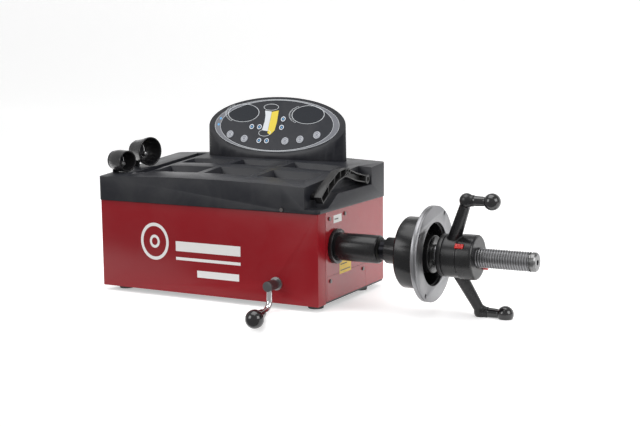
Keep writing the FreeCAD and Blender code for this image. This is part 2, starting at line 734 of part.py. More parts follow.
for index in range(9):
    rib = doc.addObject("Part::Box", "arm_rib_%d" % index)
    bind(rib, Length="arm_width - 2", Width="1.8", Height="60")
    lean = 8 if index % 2 else 62
    place(rib, ("%s - arm_width + 1" % SIDE, "gauge_y - 186 + %d" % (13 * index),
                "gauge_z - 40 + %d" % min(60, 9 * index)), FreeCAD.Rotation(FreeCAD.Vector(1, 0, 0), -lean))
    ribs.append(rib)
arm_ribs = common("arm_ribs", fuse("arm_rib_set", *ribs), arm_blank)
arm_hub = rod("arm_hub", "gauge_hub_radius", "gauge_hub_length + 1",
              ("%s - gauge_hub_length" % SIDE,) + gauge_at)
finger = rod("arm_finger", "finger_radius", "finger_length",
             ("%s - arm_width - finger_out" % SIDE, "gauge_y - 189", "gauge_z - 14"))
arm_bore = rod("arm_bore", "gauge_rod_radius + running_gap", "80", ("%s - 40" % SIDE,) + gauge_at)
node(cut("arm", fuse("arm_body", arm_shell, arm_ribs, arm_hub, finger), arm_bore), "gauge_arm")

# ---------------------------------------------------------------- display console


def oval(name, half_width, half_depth, z):
    item = doc.addObject("Part::Ellipse", name)
    bind(item, MajorRadius=half_width, MinorRadius=half_depth)
    return place(item, ("console_x", "console_y", z))


def oval_block(name, shrink):
    """The console's upright oval form, a little wider at its foot."""
    loft = doc.addObject("Part::Loft", name)
    loft.Sections = [oval(name + "_foot", "console_half_width + console_draft - %s" % shrink,
                          "console_half_depth + console_draft/2 - %s" % shrink, "console_base_z"),
                     oval(name + "_crest", "console_half_width - %s" % shrink,
                          "console_half_depth - %s" % shrink, "console_top_z + 20")]
    loft.Solid = True
    loft.Ruled = True
    return loft


def on_face(u, v, out):
    """A point on the sloping face: u to the right, v up the slope and out of the face."""
    return ("console_x + (%s)" % u, "console_y + (%s)*cos(face_slope) - (%s)*sin(face_slope)" % (v, out),
            "face_z + (%s)*sin(face_slope) + (%s)*cos(face_slope)" % (v, out))


def face_oval(name, u, v, half_width, half_height, low, high):
    """An oval disc lying on the sloping face, from low to high out of it."""
    ring = doc.addObject("Part::Ellipse", name + "_outline")
    bind(ring, MajorRadius=half_width, MinorRadius=half_height)
    disc = doc.addObject("Part::Extrusion", name)
    disc.Base = ring
    disc.DirMode = "Custom"
    disc.Dir = FreeCAD.Vector(0, 0, 1)
    disc.Solid = True
    bind(disc, LengthFwd="(%s) - (%s)" % (high, low))
    return place(disc, on_face(u, v, low), axis=(1, 0, 0), angle="face_slope")


def face_round(name, u, v, radius, low, high):
    item = doc.addObject("Part::Cylinder", name)
    bind(item, Radius=radius, Height="(%s) - (%s)" % (high, low))
    return place(item, on_face(u, v, low), axis=(1, 0, 0), angle="face_slope")


WINDOWS = [("-window_offset - 6.5", "window_up"), ("window_offset - 6.5", "window_up")]
KEYS = {"key_start": ("-108", "-24"), "key_stop": ("-70", "-33"), "key_mode": ("31", "-35"),
        "key_fine": ("66", "-30"), "key_split": ("104", "-19")}
ARROWS = {"arrow_distance": ("-48", "-5", "0"), "arrow_diameter": ("16", "5", "90"),
          "arrow_width": ("-23", "-36", "0")}
wall_back = "-(panel_thick + console_wall)"

# The oval column carries a thick oval head whose back runs parallel to the face
HEAD = ("console_half_width - head_inset", "console_half_depth/cos(face_slope) - head_inset/10")
head_outer = face_oval("head_outer", "0", "0", HEAD[0], HEAD[1], "-console_back", "0")
head_inner = face_oval("head_inner", "0", "0", HEAD[0] + " - console_wall", HEAD[1] + " - console_wall",
                       "-console_back + console_wall", wall_back)
console_form = fuse("console_form", oval_block("console_outer", "0"), head_outer)
console_solid = cut("console_solid", console_form, tray_block("console_seat", "-40", "-0.15", "150"),
                    face_round("face_plane", "0", "0", "600", "0", "400"))
column_room = cut("column_room", oval_block("console_inner", "console_wall"),
                  face_round("face_back_plane", "0", "0", "600", wall_back, "400"))
console_room = fuse("console_room", column_room, head_inner)
panel_seat = face_oval("panel_seat", "0", "0", "panel_half_width + panel_seam/2",
                       "panel_half_height + panel_seam/2", "-panel_thick", "20")
openings = []
caps = []
for index, (u, v) in enumerate(WINDOWS):
    openings.append(face_oval("window_opening_%d" % index, u, v, "window_half_width + 0.2",
                              "window_half_height + 0.2", "-9", "9"))
for name, (u, v) in KEYS.items():
    openings.append(face_round(name + "_opening", u, v, "key_radius + key_gap", "-9", "9"))
    caps.append(node(face_round(name + "_cap", u, v, "key_radius", "-key_depth", "key_proud"), name))
for name, (u, v, lean) in ARROWS.items():
    pair = []
    for grow, low, high in (("0", "-key_depth", "arrow_proud"), ("key_gap", "-9", "9")):
        discs = []
        for side in ("-", "+"):
            du = "%s %sarrow_pitch/2" % (u, side) if lean == "0" else u
            dv = "%s %sarrow_pitch/2" % (v, side) if lean == "90" else v
            discs.append(face_round("%s_disc%d%d" % (name, len(pair), len(discs)), du, dv,
                                    "arrow_radius + " + grow, low, high))
        waist = doc.addObject("Part::Box", "%s_waist%d" % (name, len(pair)))
        sides = ["arrow_pitch", "arrow_radius*0.7 + 2*(%s)" % grow]
        if lean == "90":
            sides.reverse()
        bind(waist, Length=sides[0], Width=sides[1], Height="(%s) - (%s)" % (high, low))
        corner = on_face("%s - (%s)/2" % (u, sides[0]), "%s - (%s)/2" % (v, sides[1]), low)
        place(waist, corner, axis=(1, 0, 0), angle="face_slope")
        pair.append(fuse("%s_form%d" % (name, len(pair)), waist, *discs))
    openings.append(pair[1])
    caps.append(node(pair[0], name))
all_openings = fuse("face_openings", *openings)
node(cut("console", console_solid, console_room, panel_seat, all_openings), "console_housing")

panel_sheet = face_oval("panel_sheet", "0", "0", "panel_half_width", "panel_half_height", "-panel_thick", "0")
node(cut("panel", panel_sheet, all_openings), "display_panel")
windows = [face_oval("window_%d" % i, u, v, "window_half_width", "window_half_height", "-window_thick", "0")
           for i, (u, v) in enumerate(WINDOWS)]
node(group("window_pair", windows), "display_windows")
digits = [face_oval("digits_%d" % i, u, v, "window_half_width - 3", "window_half_height - 3",
                    "-board_depth", "-window_thick - 0.6") for i, (u, v) in enumerate(WINDOWS)]
node(group("digit_pair", digits), "digit_displays")
board_sheet = face_oval("board_sheet", "0", "0", "panel_half_width - 8", "panel_half_height - 8",
                        "-board_depth - board_thick", "-board_depth")
switches = [face_round(name + "_contact", KEYS[name][0], KEYS[name][1], "3", "-board_depth - 0.1",
                       "-key_depth - key_travel - 0.2") for name in KEYS]
switches += [face_round(name + "_contact", ARROWS[name][0], ARROWS[name][1], "2", "-board_depth - 0.1",
                        "-key_depth - key_travel - 0.2") for name in ARROWS]
node(fuse("board", board_sheet, *switches), "display_board")

# ---------------------------------------------------------------- spindle line
TUBE_END = "(%s + tube_out)" % SIDE
HUB_START = "(%s + hub_gap)" % TUBE_END
DRUM_BACK = "(%s + drum_gap)" % TUBE_END
DRUM_FRONT = "(%s + drum_length)" % DRUM_BACK
FLANGE_FACE = "(%s + disc_thick)" % DRUM_FRONT
SHAFT_END = "(%s + shaft_out)" % SIDE
JOURNAL = "(bearing_inner - running_gap)"
BEARINGS = ("(tube_start + 10)", "(%s - 10 - bearing_width)" % TUBE_END)


def spun(name, points):
    """A turned piece on the spindle axis; each point is (distance along X, radius)."""
    return turned(name, points, at=("0",) + SPINDLE)


def sleeve(name, start, end, inner, outer):
    return spun(name, [(start, inner), (start, outer), (end, outer), (end, inner)])


node(spun("tube", [("tube_start", "bearing_outer"), ("tube_start", "tube_radius"),
                   (TUBE_END + " - tube_chamfer", "tube_radius"), (TUBE_END, "tube_radius - tube_chamfer"),
                   (TUBE_END, "bearing_outer")]), "spindle_tube")
node(sleeve("collar", SIDE, SIDE + " + ring_width", "tube_radius", "ring_radius"), "tube_ring")
node(sleeve("seal", TUBE_END + " - 6", TUBE_END + " - 1", "bearing_inner + 0.35", "bearing_outer"),
     "dust_seal")

outer_rings = []
inner_rings = []
balls = []
for index, start in enumerate(BEARINGS):
    end = start + " + bearing_width"
    outer_rings.append(sleeve("outer_ring_%d" % index, start, end, "bearing_pitch + bearing_ball + 0.1",
                              "bearing_outer"))
    inner_rings.append(sleeve("inner_ring_%d" % index, start, end, JOURNAL,
                              "bearing_pitch - bearing_ball - 0.1"))
    for k in range(9):
        item = ball("ball_%d_%d" % (index, k), "bearing_ball",
                    (start + " + bearing_width/2", "spindle_y + bearing_pitch*sin(%d deg)" % (40 * k),
                     "spindle_z + bearing_pitch*cos(%d deg)" % (40 * k)))
        balls.append(item)
node(group("outer_ring_pair", outer_rings), "bearing_outer_rings")
node(group("inner_ring_pair", inner_rings), "bearing_inner_rings")
node(group("ball_set", balls), "bearing_balls")

THREAD_START = "(%s + 4)" % FLANGE_FACE
shaft = spun("shaft", [("encoder_x - 10", "0"), ("encoder_x - 10", JOURNAL + " - 1"),
                       ("encoder_x - 9", JOURNAL), (TUBE_END + " + 2", JOURNAL),
                       (TUBE_END + " + 3.5", "shaft_neck"), (HUB_START, "shaft_neck"),
                       (HUB_START, "shaft_radius"), (SHAFT_END + " - 3", "shaft_radius"),
                       (SHAFT_END, "shaft_radius - 3"), (SHAFT_END, "shaft_centre_hole"),
                       (SHAFT_END + " - 12", "shaft_centre_hole"), (SHAFT_END + " - 15", "0")])
ridge = outline(shaft, "XZ_Plane", [(THREAD_START, "shaft_radius + 0.5"),
                                    (THREAD_START + " + thread_pitch/2", "shaft_radius - thread_depth"),
                                    (THREAD_START + " + thread_pitch", "shaft_radius + 0.5")])
groove = shaft.newObject("PartDesign::Groove", "thread_groove")
groove.Profile = ridge
groove.ReferenceAxis = (ridge, ["H_Axis"])
groove.Angle = 360
threads = shaft.newObject("PartDesign::LinearPattern", "thread_run")
threads.Originals = [groove]
threads.Direction = (ridge, ["H_Axis"])
threads.Mode = "Spacing"
bind(threads, Offset="thread_pitch")
bind(threads, Occurrences="floor((%s - %s - 8)/thread_pitch)" % (SHAFT_END, THREAD_START))
shaft.Tip = threads
node(shaft, "spindle_shaft")

drum = spun("drum", [(HUB_START, "shaft_radius"), (HUB_START, "hub_boss"), (DRUM_BACK, "hub_boss"),
                     (DRUM_BACK, "drum_radius - 4"), (DRUM_BACK + " + 4", "drum_radius"),
                     (DRUM_FRONT, "drum_radius"), (DRUM_FRONT, "disc_spigot"),
                     (DRUM_FRONT + " + disc_thick/2", "disc_spigot"),
                     (DRUM_FRONT + " + disc_thick/2", "drum_inner"),
                     (DRUM_BACK + " + drum_floor", "drum_inner"), (DRUM_BACK + " + drum_floor", "inner_hub"),
                     (FLANGE_FACE + " - 1.5", "inner_hub"), (FLANGE_FACE, "inner_hub - 1.5"),
                     (FLANGE_FACE, "shaft_radius")])
node(drum, "wheel_flange_hub")

disc = spun("face_disc", [(DRUM_FRONT, "disc_spigot"), (DRUM_FRONT, "disc_radius - 1"),
                          (DRUM_FRONT + " + 1", "disc_radius"), (FLANGE_FACE + " - 4", "disc_radius"),
                          (FLANGE_FACE + " - 4", "disc_radius - 1.2"),
                          (FLANGE_FACE + " - 2.8", "disc_radius - 1.2"),
                          (FLANGE_FACE + " - 2.8", "disc_radius"), (FLANGE_FACE + " - 1", "disc_radius"),
                          (FLANGE_FACE, "disc_radius - 1"), (FLANGE_FACE, "disc_opening"),
                          (DRUM_FRONT + " + disc_thick/2", "disc_opening"),
                          (DRUM_FRONT + " + disc_thick/2", "disc_spigot")])
disc_holes = [rod("disc_hole_%d" % k, "disc_hole", "disc_thick + 4",
                  (DRUM_FRONT + " - 2", "spindle_y - disc_hole_circle*sin(%d deg)" % (58 + 90 * k),
                   "spindle_z + disc_hole_circle*cos(%d deg)" % (58 + 90 * k))) for k in range(4)]
node(cut("disc", disc, *disc_holes), "flange_disc")

node(spun("brake", [("brake_x - 8", JOURNAL), ("brake_x - 8", "shaft_neck"), ("brake_x", "shaft_neck"),
                    ("brake_x", "brake_radius"), ("brake_x + brake_thick", "brake_radius"),
                    ("brake_x + brake_thick", JOURNAL)]), "brake_disc")
code_disc = spun("code_disc", [("encoder_x", JOURNAL), ("encoder_x", "encoder_radius"),
                               ("encoder_x + encoder_thick", "encoder_radius"),
                               ("encoder_x + encoder_thick", "shaft_neck - 3"),
                               ("encoder_x + 6", "shaft_neck - 3"), ("encoder_x + 6", JOURNAL)])
code_slots = []
for k in range(24):
    slit = box("code_slit_%d" % k, ("20", "1.6", "6"), ("encoder_x - 5", "-0.8", "encoder_radius - 8"))
    code_slots.append(place(group("code_slot_%d" % k, [slit]), ("0",) + SPINDLE,
                            FreeCAD.Rotation(FreeCAD.Vector(1, 0, 0), 15 * k)))
node(cut("encoder", code_disc, *code_slots), "encoder_disc")

# ---------------------------------------------------------------- suspension frame, sensors
BASE_TOP = "(foot_height + base_gauge)"
FRAME_TOP = "(%s + frame_thick)" % BASE_TOP
UPRIGHTS = ("(tube_start + 4)", "(%s - 22)" % SIDE)
frame_parts = [box("frame_base", ("frame_length", "frame_width", "frame_thick"),
                   (SIDE + " - 7.5 - frame_length", "spindle_y - frame_width/2", BASE_TOP))]
frame_bores = []
pucks = []
for index, x in enumerate(UPRIGHTS):
    frame_parts.append(box("upright_%d" % index, ("upright_thick", "70", "spindle_z + 34 - %s" % BASE_TOP),
                           (x, "spindle_y - 35", BASE_TOP)))
    frame_parts.append(box("bracket_%d" % index, ("upright_thick", "9", "90"),
                           (x, "spindle_y + 51", BASE_TOP)))
    frame_bores.append(rod("tube_bore_%d" % index, "tube_radius", "upright_thick + 2",
                           (x + " - 1",) + SPINDLE))
    pucks.append(rod("puck_%d" % index, "upright_thick/2 - 0.5", "16",
                     (x + " + upright_thick/2", "spindle_y + 35", "spindle_z - 28"), "Y"))
SHOE_FRONT = "(spindle_y - shoe_length/2)"
SHOE_REAR = "(spindle_y + shoe_length/2)"
for index, y in enumerate((SHOE_FRONT + " - 5.5", SHOE_REAR + " + 0.5")):
    frame_parts.append(box("cheek_%d" % index, ("28", "5", "lever_z + 15 - %s" % BASE_TOP),
                           ("lever_x - 14", y, BASE_TOP)))
    frame_bores.append(rod("cheek_bore_%d" % index, "lever_shaft + running_gap", "7",
                           ("lever_x", y + " - 1", "lever_z"), "Y"))
node(cut("frame", fuse("frame_form", *frame_parts), *frame_bores), "suspension_frame")
node(group("puck_pair", pucks), "vibration_sensors")

SENSOR_FRONT = "(spindle_y + encoder_radius - 8)"
sensor_head = box("sensor_head", ("21", "20", "17"), ("encoder_x - 10", SENSOR_FRONT, "spindle_z - 8.5"))
sensor_stem = box("sensor_stem", ("21", "8", "spindle_z - 8 - %s" % FRAME_TOP),
                  ("encoder_x - 10", SENSOR_FRONT + " + 12", FRAME_TOP))
sensor_slot = box("sensor_slot", ("encoder_thick + 6", "14", "30"),
                  ("encoder_x - 3", SENSOR_FRONT + " - 3", "spindle_z - 15"))
node(cut("sensor", fuse("sensor_form", sensor_head, sensor_stem), sensor_slot), "encoder_sensor")

# ---------------------------------------------------------------- lock lever and brake shoe
ROD_Y = "(-%s - lever_out + lever_rod + lever_cap)" % FRONT
BUSH_FACE = "(-%s - 3)" % FRONT
LEVER_DIP = "atan(lever_dip/lever_reach)"
BEND_RUN = "(lever_bend*tan(45 deg - %s/2))" % LEVER_DIP
lever_axis = ("lever_x", "lever_z")


def lever_pin(name, radius, start, end, dx="0"):
    return rod(name, radius, "%s - %s" % (end, start), ("lever_x + " + dx, start, "lever_z"), "Y")


bush_outer = fuse("bush_outer", lever_pin("bush_barrel", "lever_bush", BUSH_FACE, "(-%s + 10)" % FRONT),
                  lever_pin("bush_flange", "lever_bush + 3.5", BUSH_FACE, "(-%s)" % FRONT))
node(cut("bush", bush_outer, lever_pin("bush_bore", "lever_shaft + running_gap", BUSH_FACE + " - 2",
                                       "(-%s + 14)" % FRONT)), "lever_bush")
SHAFT_TIP = "(%s + lever_rod + 0.6)" % ROD_Y
CHEEK_BACK = "(%s + 4.5)" % SHOE_REAR
cross_shaft = lever_pin("cross_shaft", "lever_shaft", SHAFT_TIP, CHEEK_BACK)
cam = lever_pin("cam", "cam_radius", SHOE_FRONT, SHOE_REAR, "-cam_throw")
node(fuse("cam_shaft", cross_shaft, cam), "lever_shaft")
hub_end = "(-%s - lever_out)" % FRONT
hub_bar = lever_pin("hub_bar", "lever_hub", hub_end, BUSH_FACE + " - 0.5")
hub_bore = lever_pin("hub_bore", "lever_shaft", SHAFT_TIP, BUSH_FACE + " + 5")
hub_rod_hole = rod("hub_rod_hole", "lever_rod", "20", ("lever_x", ROD_Y, "lever_z - 20"), "Z")
node(cut("hub", hub_bar, hub_bore, hub_rod_hole), "lever_hub")

drop_rod = rod("drop_rod", "lever_rod", "lever_drop - " + BEND_RUN,
               ("lever_x", ROD_Y, "lever_z - lever_drop + " + BEND_RUN), "Z")
elbow = doc.addObject("Part::Torus", "elbow")
bind(elbow, Radius1="lever_bend", Radius2="lever_rod", Angle3="90 deg - " + LEVER_DIP)
place(elbow, ("lever_x", ROD_Y + " - lever_bend", "lever_z - lever_drop + " + BEND_RUN),
      FreeCAD.Rotation(FreeCAD.Vector(0, 1, 0), FreeCAD.Vector(0, 0, -1), FreeCAD.Vector(-1, 0, 0), "XYZ"))
RUN = "sqrt(lever_reach^2 + lever_dip^2)"


def along_run(item, start):
    """Lay an item on the lever's forward run, start from where its two straight lines cross."""
    return place(item, ("lever_x", "%s - (%s)*cos(%s)" % (ROD_Y, start, LEVER_DIP),
                        "lever_z - lever_drop - (%s)*sin(%s)" % (start, LEVER_DIP)),
                 axis=(1, 0, 0), angle="90 deg + " + LEVER_DIP)


def lever_run(name, start, length):
    item = doc.addObject("Part::Cylinder", name)
    bind(item, Radius="lever_rod", Height=length)
    return along_run(item, start)


reach_rod = lever_run("reach_rod", BEND_RUN, "%s - %s" % (RUN, BEND_RUN))
node(fuse("bent_rod", drop_rod, elbow, reach_rod), "lever_rod")
knob_neck = doc.addObject("Part::Cone", "knob_neck")
bind(knob_neck, Radius1="lever_neck", Radius2="lever_collar", Height="lever_neck_length - lever_ball/2")
along_run(knob_neck, "%s - lever_neck_length" % RUN)
grip_ball = ball("knob_ball", "lever_ball",
                 ("lever_x", ROD_Y + " - lever_reach", "lever_z - lever_drop - lever_dip"))
knob_hole = lever_run("knob_hole", RUN + " - 2*lever_ball", "2*lever_ball")
node(cut("knob", fuse("knob_form", grip_ball, knob_neck), knob_hole), "lever_grip")

shoe_low = "(lever_z + cam_radius + 0.8)"
shoe_block = box("shoe_block", ("20", "shoe_length", "spindle_z - brake_radius - %s" % shoe_low),
                 ("lever_x - 10", SHOE_FRONT, shoe_low))
shoe_arc = rod("shoe_arc", "brake_radius + shoe_lift + 0.3", "40", ("lever_x - 20",) + SPINDLE)
node(cut("shoe", shoe_block, shoe_arc), "brake_shoe")

# ---------------------------------------------------------------- quick nut
RING_START = "(%s + nut_start)" % SIDE
NUT = "(%s + nut_ring + nut_ring_gap)" % RING_START
NUT_BORE = "(shaft_radius + nut_bore_gap)"
NUT_END = "(nut_sleeve_length + nut_disc_length)"
node(spun("ring", [(RING_START, NUT_BORE), (RING_START, "nut_sleeve - 2"),
                   (RING_START + " + 2", "nut_sleeve"), (RING_START + " + nut_ring", "nut_sleeve"),
                   (RING_START + " + nut_ring", NUT_BORE)]),
     "pressure_ring")

nut_core = turned("nut_core", [("0", NUT_BORE), ("0", "nut_sleeve"), ("nut_sleeve_length - 2", "nut_sleeve"),
                               ("nut_sleeve_length - 2", "nut_sleeve - 2"),
                               ("nut_sleeve_length", "nut_sleeve - 2"),
                               ("nut_sleeve_length", "nut_disc"), (NUT_END + " - 3", "nut_disc"),
                               (NUT_END, "nut_disc - 3"), (NUT_END, NUT_BORE)])
nut_forms = [nut_core]
grips = []
arm_tilt = "atan((arm_boss_x - arm_foot_x)/(arm_reach - 28))"
arm_span = "sqrt((arm_boss_x - arm_foot_x)^2 + (arm_reach - 28)^2)"
for index, (sign, turn) in enumerate((("", arm_tilt), ("-", "180 deg - " + arm_tilt))):
    arm = doc.addObject("Part::Cone", "nut_arm_%d" % index)
    bind(arm, Radius1="arm_root", Radius2="arm_neck", Height=arm_span)
    nut_forms.append(place(arm, ("arm_foot_x", "0", sign + "28"), axis=(0, 1, 0), angle=turn))
    nut_forms.append(ball("nut_boss_%d" % index, "arm_boss", ("arm_boss_x", "0", sign + "arm_reach")))
    nut_forms.append(rod("boss_collar_%d" % index, "arm_boss - 3", "arm_boss + 1",
                         ("arm_boss_x", "0", sign + "arm_reach")))
    neck = doc.addObject("Part::Cone", "grip_neck_%d" % index)
    bind(neck, Radius1="grip_neck + 1.5", Radius2="grip_neck", Height="grip_ball_out - arm_boss - 1")
    place(neck, ("arm_boss_x + arm_boss + 1", "0", sign + "arm_reach"), STAND["X"])
    grips.append(fuse("grip_%d" % index, neck, ball("grip_ball_%d" % index, "grip_ball",
                                                    ("arm_boss_x + grip_ball_out", "0", sign + "arm_reach"))))
nut_at = (NUT,) + SPINDLE
nut_bore = rod("nut_bore", NUT_BORE, "80", ("-10", "0", "0"))
nut_room = rod("nut_room", "hoop_outer + tab_travel + 1", "hoop_far + hoop_thick - hoop_near + 3",
               ("hoop_near - 1.5", "0", "0"))
nut_tools = [nut_bore, nut_room]
for index, (half_turn, start, length) in enumerate((("0", "near_tab_start", "near_tab_length"),
                                                    ("180", "far_tab_start", "far_tab_length + 5"))):
    slot = box("tab_slot_box_%d" % index, (length + " + 2*tab_gap", "tab_width + 2*tab_gap", "20"),
               (start + " - tab_gap", "-tab_width/2 - tab_gap", "tab_foot - tab_travel - tab_gap"))
    jaw_slot = box("jaw_slot_box_%d" % index,
                   ("jaw_length + 6", "jaw_width + 2*tab_gap", "jaw_outer + tab_travel + 1"),
                   ("jaw_start - tab_gap", "-jaw_width/2 - tab_gap", "0"))
    nut_tools.append(place(group("tab_slot_%d" % index, [slot, jaw_slot]), axis=(1, 0, 0),
                           angle="(tab_lean - arm_lean + %s)*1 deg" % half_turn))
node(place(cut("nut", fuse("nut_form", *nut_forms), *nut_tools), nut_at, axis=(1, 0, 0),
           angle="arm_lean*1 deg"), "nut_body")
node(place(group("grip_pair", grips), nut_at, axis=(1, 0, 0), angle="arm_lean*1 deg"), "nut_grips")

for name, half_turn in (("near", "0"), ("far", "180")):
    length = name + "_tab_length"
    tab_start = name + "_tab_start"
    hoop_x = "hoop_" + name
    turn = "(tab_lean + %s)*1 deg" % half_turn
    tab_bar = box(name + "_tab_bar", (length, "tab_width", "nut_disc + tab_proud - tab_foot"),
                  (tab_start, "-tab_width/2", "tab_foot"))
    grooves = [box("%s_tab_groove_%d" % (name, k), ("1.2", "20", "4"),
                   ("%s + %s - %s" % (tab_start, length, 3 + 3 * k), "-10", "nut_disc + tab_proud - 0.8"))
               for k in range(4)]
    tab = cut(name + "_tab", tab_bar, *grooves)
    node(place(tab, nut_at, axis=(1, 0, 0), angle=turn), "release_tab_" + name)
    hoop = turned(name + "_hoop", [(hoop_x, "hoop_inner"), (hoop_x, "hoop_outer"),
                                   (hoop_x + " + hoop_thick", "hoop_outer"),
                                   (hoop_x + " + hoop_thick", "hoop_inner")])
    jaw_block = box(name + "_jaw_block", ("jaw_length", "jaw_width", "jaw_outer"),
                    ("jaw_start", "-jaw_width/2", "-jaw_outer"))
    link_low = box(name + "_link_low", ("%s + hoop_thick - jaw_start - jaw_length + 3" % hoop_x, "12", "4"),
                   ("jaw_start + jaw_length - 3", "-6", "-jaw_outer"))
    link_high = box(name + "_link_high", ("hoop_thick", "12", "hoop_inner + 1 - jaw_outer + 4"),
                    (hoop_x, "-6", "-hoop_inner - 1"))
    jaw_bore = rod(name + "_jaw_bore", NUT_BORE, "90", ("-20", "0", "0"))
    tab_seat = box(name + "_tab_seat", ("90", "tab_width", "20"), ("-10", "-tab_width/2", "tab_foot"))
    jaw_form = fuse(name + "_jaw_form", hoop, jaw_block, link_low, link_high)
    jaw = cut(name + "_jaw", jaw_form, jaw_bore, tab_seat)
    node(place(jaw, nut_at, axis=(1, 0, 0), angle=turn), "jaw_" + name)

# ---------------------------------------------------------------- electronics in the cabinet
BOARD_Z = "(%s + 12)" % BASE_TOP
board_parts = [box("logic_sheet", ("180", "80", "1.6"), ("-120", "30", BOARD_Z))]
for dx in (-114, 54):
    for dy in (36, 104):
        board_parts.append(rod("pillar_%d_%d" % (dx + 200, dy), "3.5", "12.5",
                               (str(dx), str(dy), BASE_TOP), "Z"))
capacitors = {"left": (-96, 50, 9, 32), "middle": (-74, 50, 9, 32), "small": (-50, 48, 6, 20)}
for name, (dx, dy, radius, tall) in capacitors.items():
    board_parts.append(rod("capacitor_" + name, str(radius), str(tall),
                           (str(dx), str(dy), BOARD_Z + " + 1"), "Z"))
chips = {"processor": (-30, 45, 30, 30, 3), "driver": (15, 50, 14, 22, 4),
         "heat_sink": (-100, 82, 60, 14, 26), "plug_row": (0, 92, 40, 10, 12),
         "sensor_plug": (46, 60, 9, 30, 12)}
for name, (dx, dy, wide, deep, tall) in chips.items():
    board_parts.append(box("chip_" + name, (str(wide), str(deep), str(tall)),
                           (str(dx), str(dy), BOARD_Z + " + 1")))
node(fuse("logic_board", *board_parts), "main_board")

core = box("core", ("64", "42", "54"), ("-225", "-60", BASE_TOP))
windings = box("windings", ("34", "62", "34"), ("-210", "-70", BASE_TOP + " + 10"))
flange_plate = box("core_foot", ("84", "42", "3"), ("-235", "-60", BASE_TOP))
node(fuse("transformer_form", core, windings, flange_plate), "transformer")

# ---------------------------------------------------------------- checks and files
doc.recompute()
for item in doc.Objects:
    if "Invalid" in item.State or "Error" in item.State:
        raise RuntimeError("%s did not rebuild: %s" % (item.Label, item.State))
os.makedirs("parts", exist_ok=True)
for item in NODES:
    shape = item.Shape
    if shape.isNull() or not shape.isValid() or not shape.Solids:
        raise RuntimeError("%s is not a sound solid" % item.Label)
    shape.exportStep("parts/%s.step" % item.Label)
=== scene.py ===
import math

import bmesh
import bpy
from mathutils import Matrix, Vector


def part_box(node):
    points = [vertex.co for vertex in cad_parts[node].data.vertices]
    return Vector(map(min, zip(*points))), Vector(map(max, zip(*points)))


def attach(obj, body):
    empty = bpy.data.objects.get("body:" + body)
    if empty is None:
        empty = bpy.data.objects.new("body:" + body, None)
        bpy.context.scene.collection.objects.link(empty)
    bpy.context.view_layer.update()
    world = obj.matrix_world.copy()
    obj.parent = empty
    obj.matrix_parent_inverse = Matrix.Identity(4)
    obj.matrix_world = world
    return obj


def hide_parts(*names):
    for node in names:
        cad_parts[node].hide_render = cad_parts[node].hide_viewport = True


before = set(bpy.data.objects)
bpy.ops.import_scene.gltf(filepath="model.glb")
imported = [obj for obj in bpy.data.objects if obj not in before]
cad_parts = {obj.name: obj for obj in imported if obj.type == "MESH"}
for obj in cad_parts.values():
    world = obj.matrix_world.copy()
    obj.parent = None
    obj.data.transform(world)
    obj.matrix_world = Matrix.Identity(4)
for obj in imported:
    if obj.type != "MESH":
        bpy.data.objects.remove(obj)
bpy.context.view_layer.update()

# ---------------------------------------------------------------- camera
# A long lens looks at the machine from its front right, a little above the tray.
turn, dip, roll = math.radians(28.08), math.radians(8.51), math.radians(-0.53)
ahead = Vector((-math.sin(turn) * math.cos(dip), math.cos(turn) * math.cos(dip), -math.sin(dip)))
level = Vector((math.cos(turn), math.sin(turn), 0))
upward = level.cross(ahead)
camera_right = math.cos(roll) * level + math.sin(roll) * upward
camera_up = math.cos(roll) * upward - math.sin(roll) * level
camera_data = bpy.data.cameras.new("studio_camera")
camera_data.lens = 70.48
camera_data.sensor_width = 36
camera_data.clip_end = 50
camera = bpy.data.objects.new("studio_camera", camera_data)
camera.matrix_world = Matrix.Translation((1.3525, -2.195, 0.540)) @ Matrix(
    (camera_right, camera_up, -ahead)).transposed().to_4x4()
bpy.context.collection.objects.link(camera)
bpy.context.scene.camera = camera

# ---------------------------------------------------------------- studio
# A pale sheet lies on the bench, sweeps up behind the machine and rolls down over the bench's
# front edge, where the lever's ball hangs clear of it. Large soft boxes stand round it.


def shader(name, color, roughness, metallic=0.0, **sockets):
    """A new material with a Principled BSDF; the other sockets are set as plain constants."""
    material = bpy.data.materials.new(name)
    material.use_nodes = True
    bsdf = material.node_tree.nodes["Principled BSDF"]
    bsdf.inputs["Base Color"].default_value = (*color, 1)
    bsdf.inputs["Roughness"].default_value = roughness
    bsdf.inputs["Metallic"].default_value = metallic
    for socket, value in sockets.items():
        bsdf.inputs[socket.replace("_", " ")].default_value = value
    return material


def made(name, bm, *materials):
    """A finished piece from a bmesh, its normals outward, its object at the origin."""
    bmesh.ops.recalc_face_normals(bm, faces=bm.faces)
    mesh = bpy.data.meshes.new(name)
    bm.to_mesh(mesh)
    bm.free()
    for material in materials:
        mesh.materials.append(material)
    piece = bpy.data.objects.new(name, mesh)
    bpy.context.collection.objects.link(piece)
    return piece


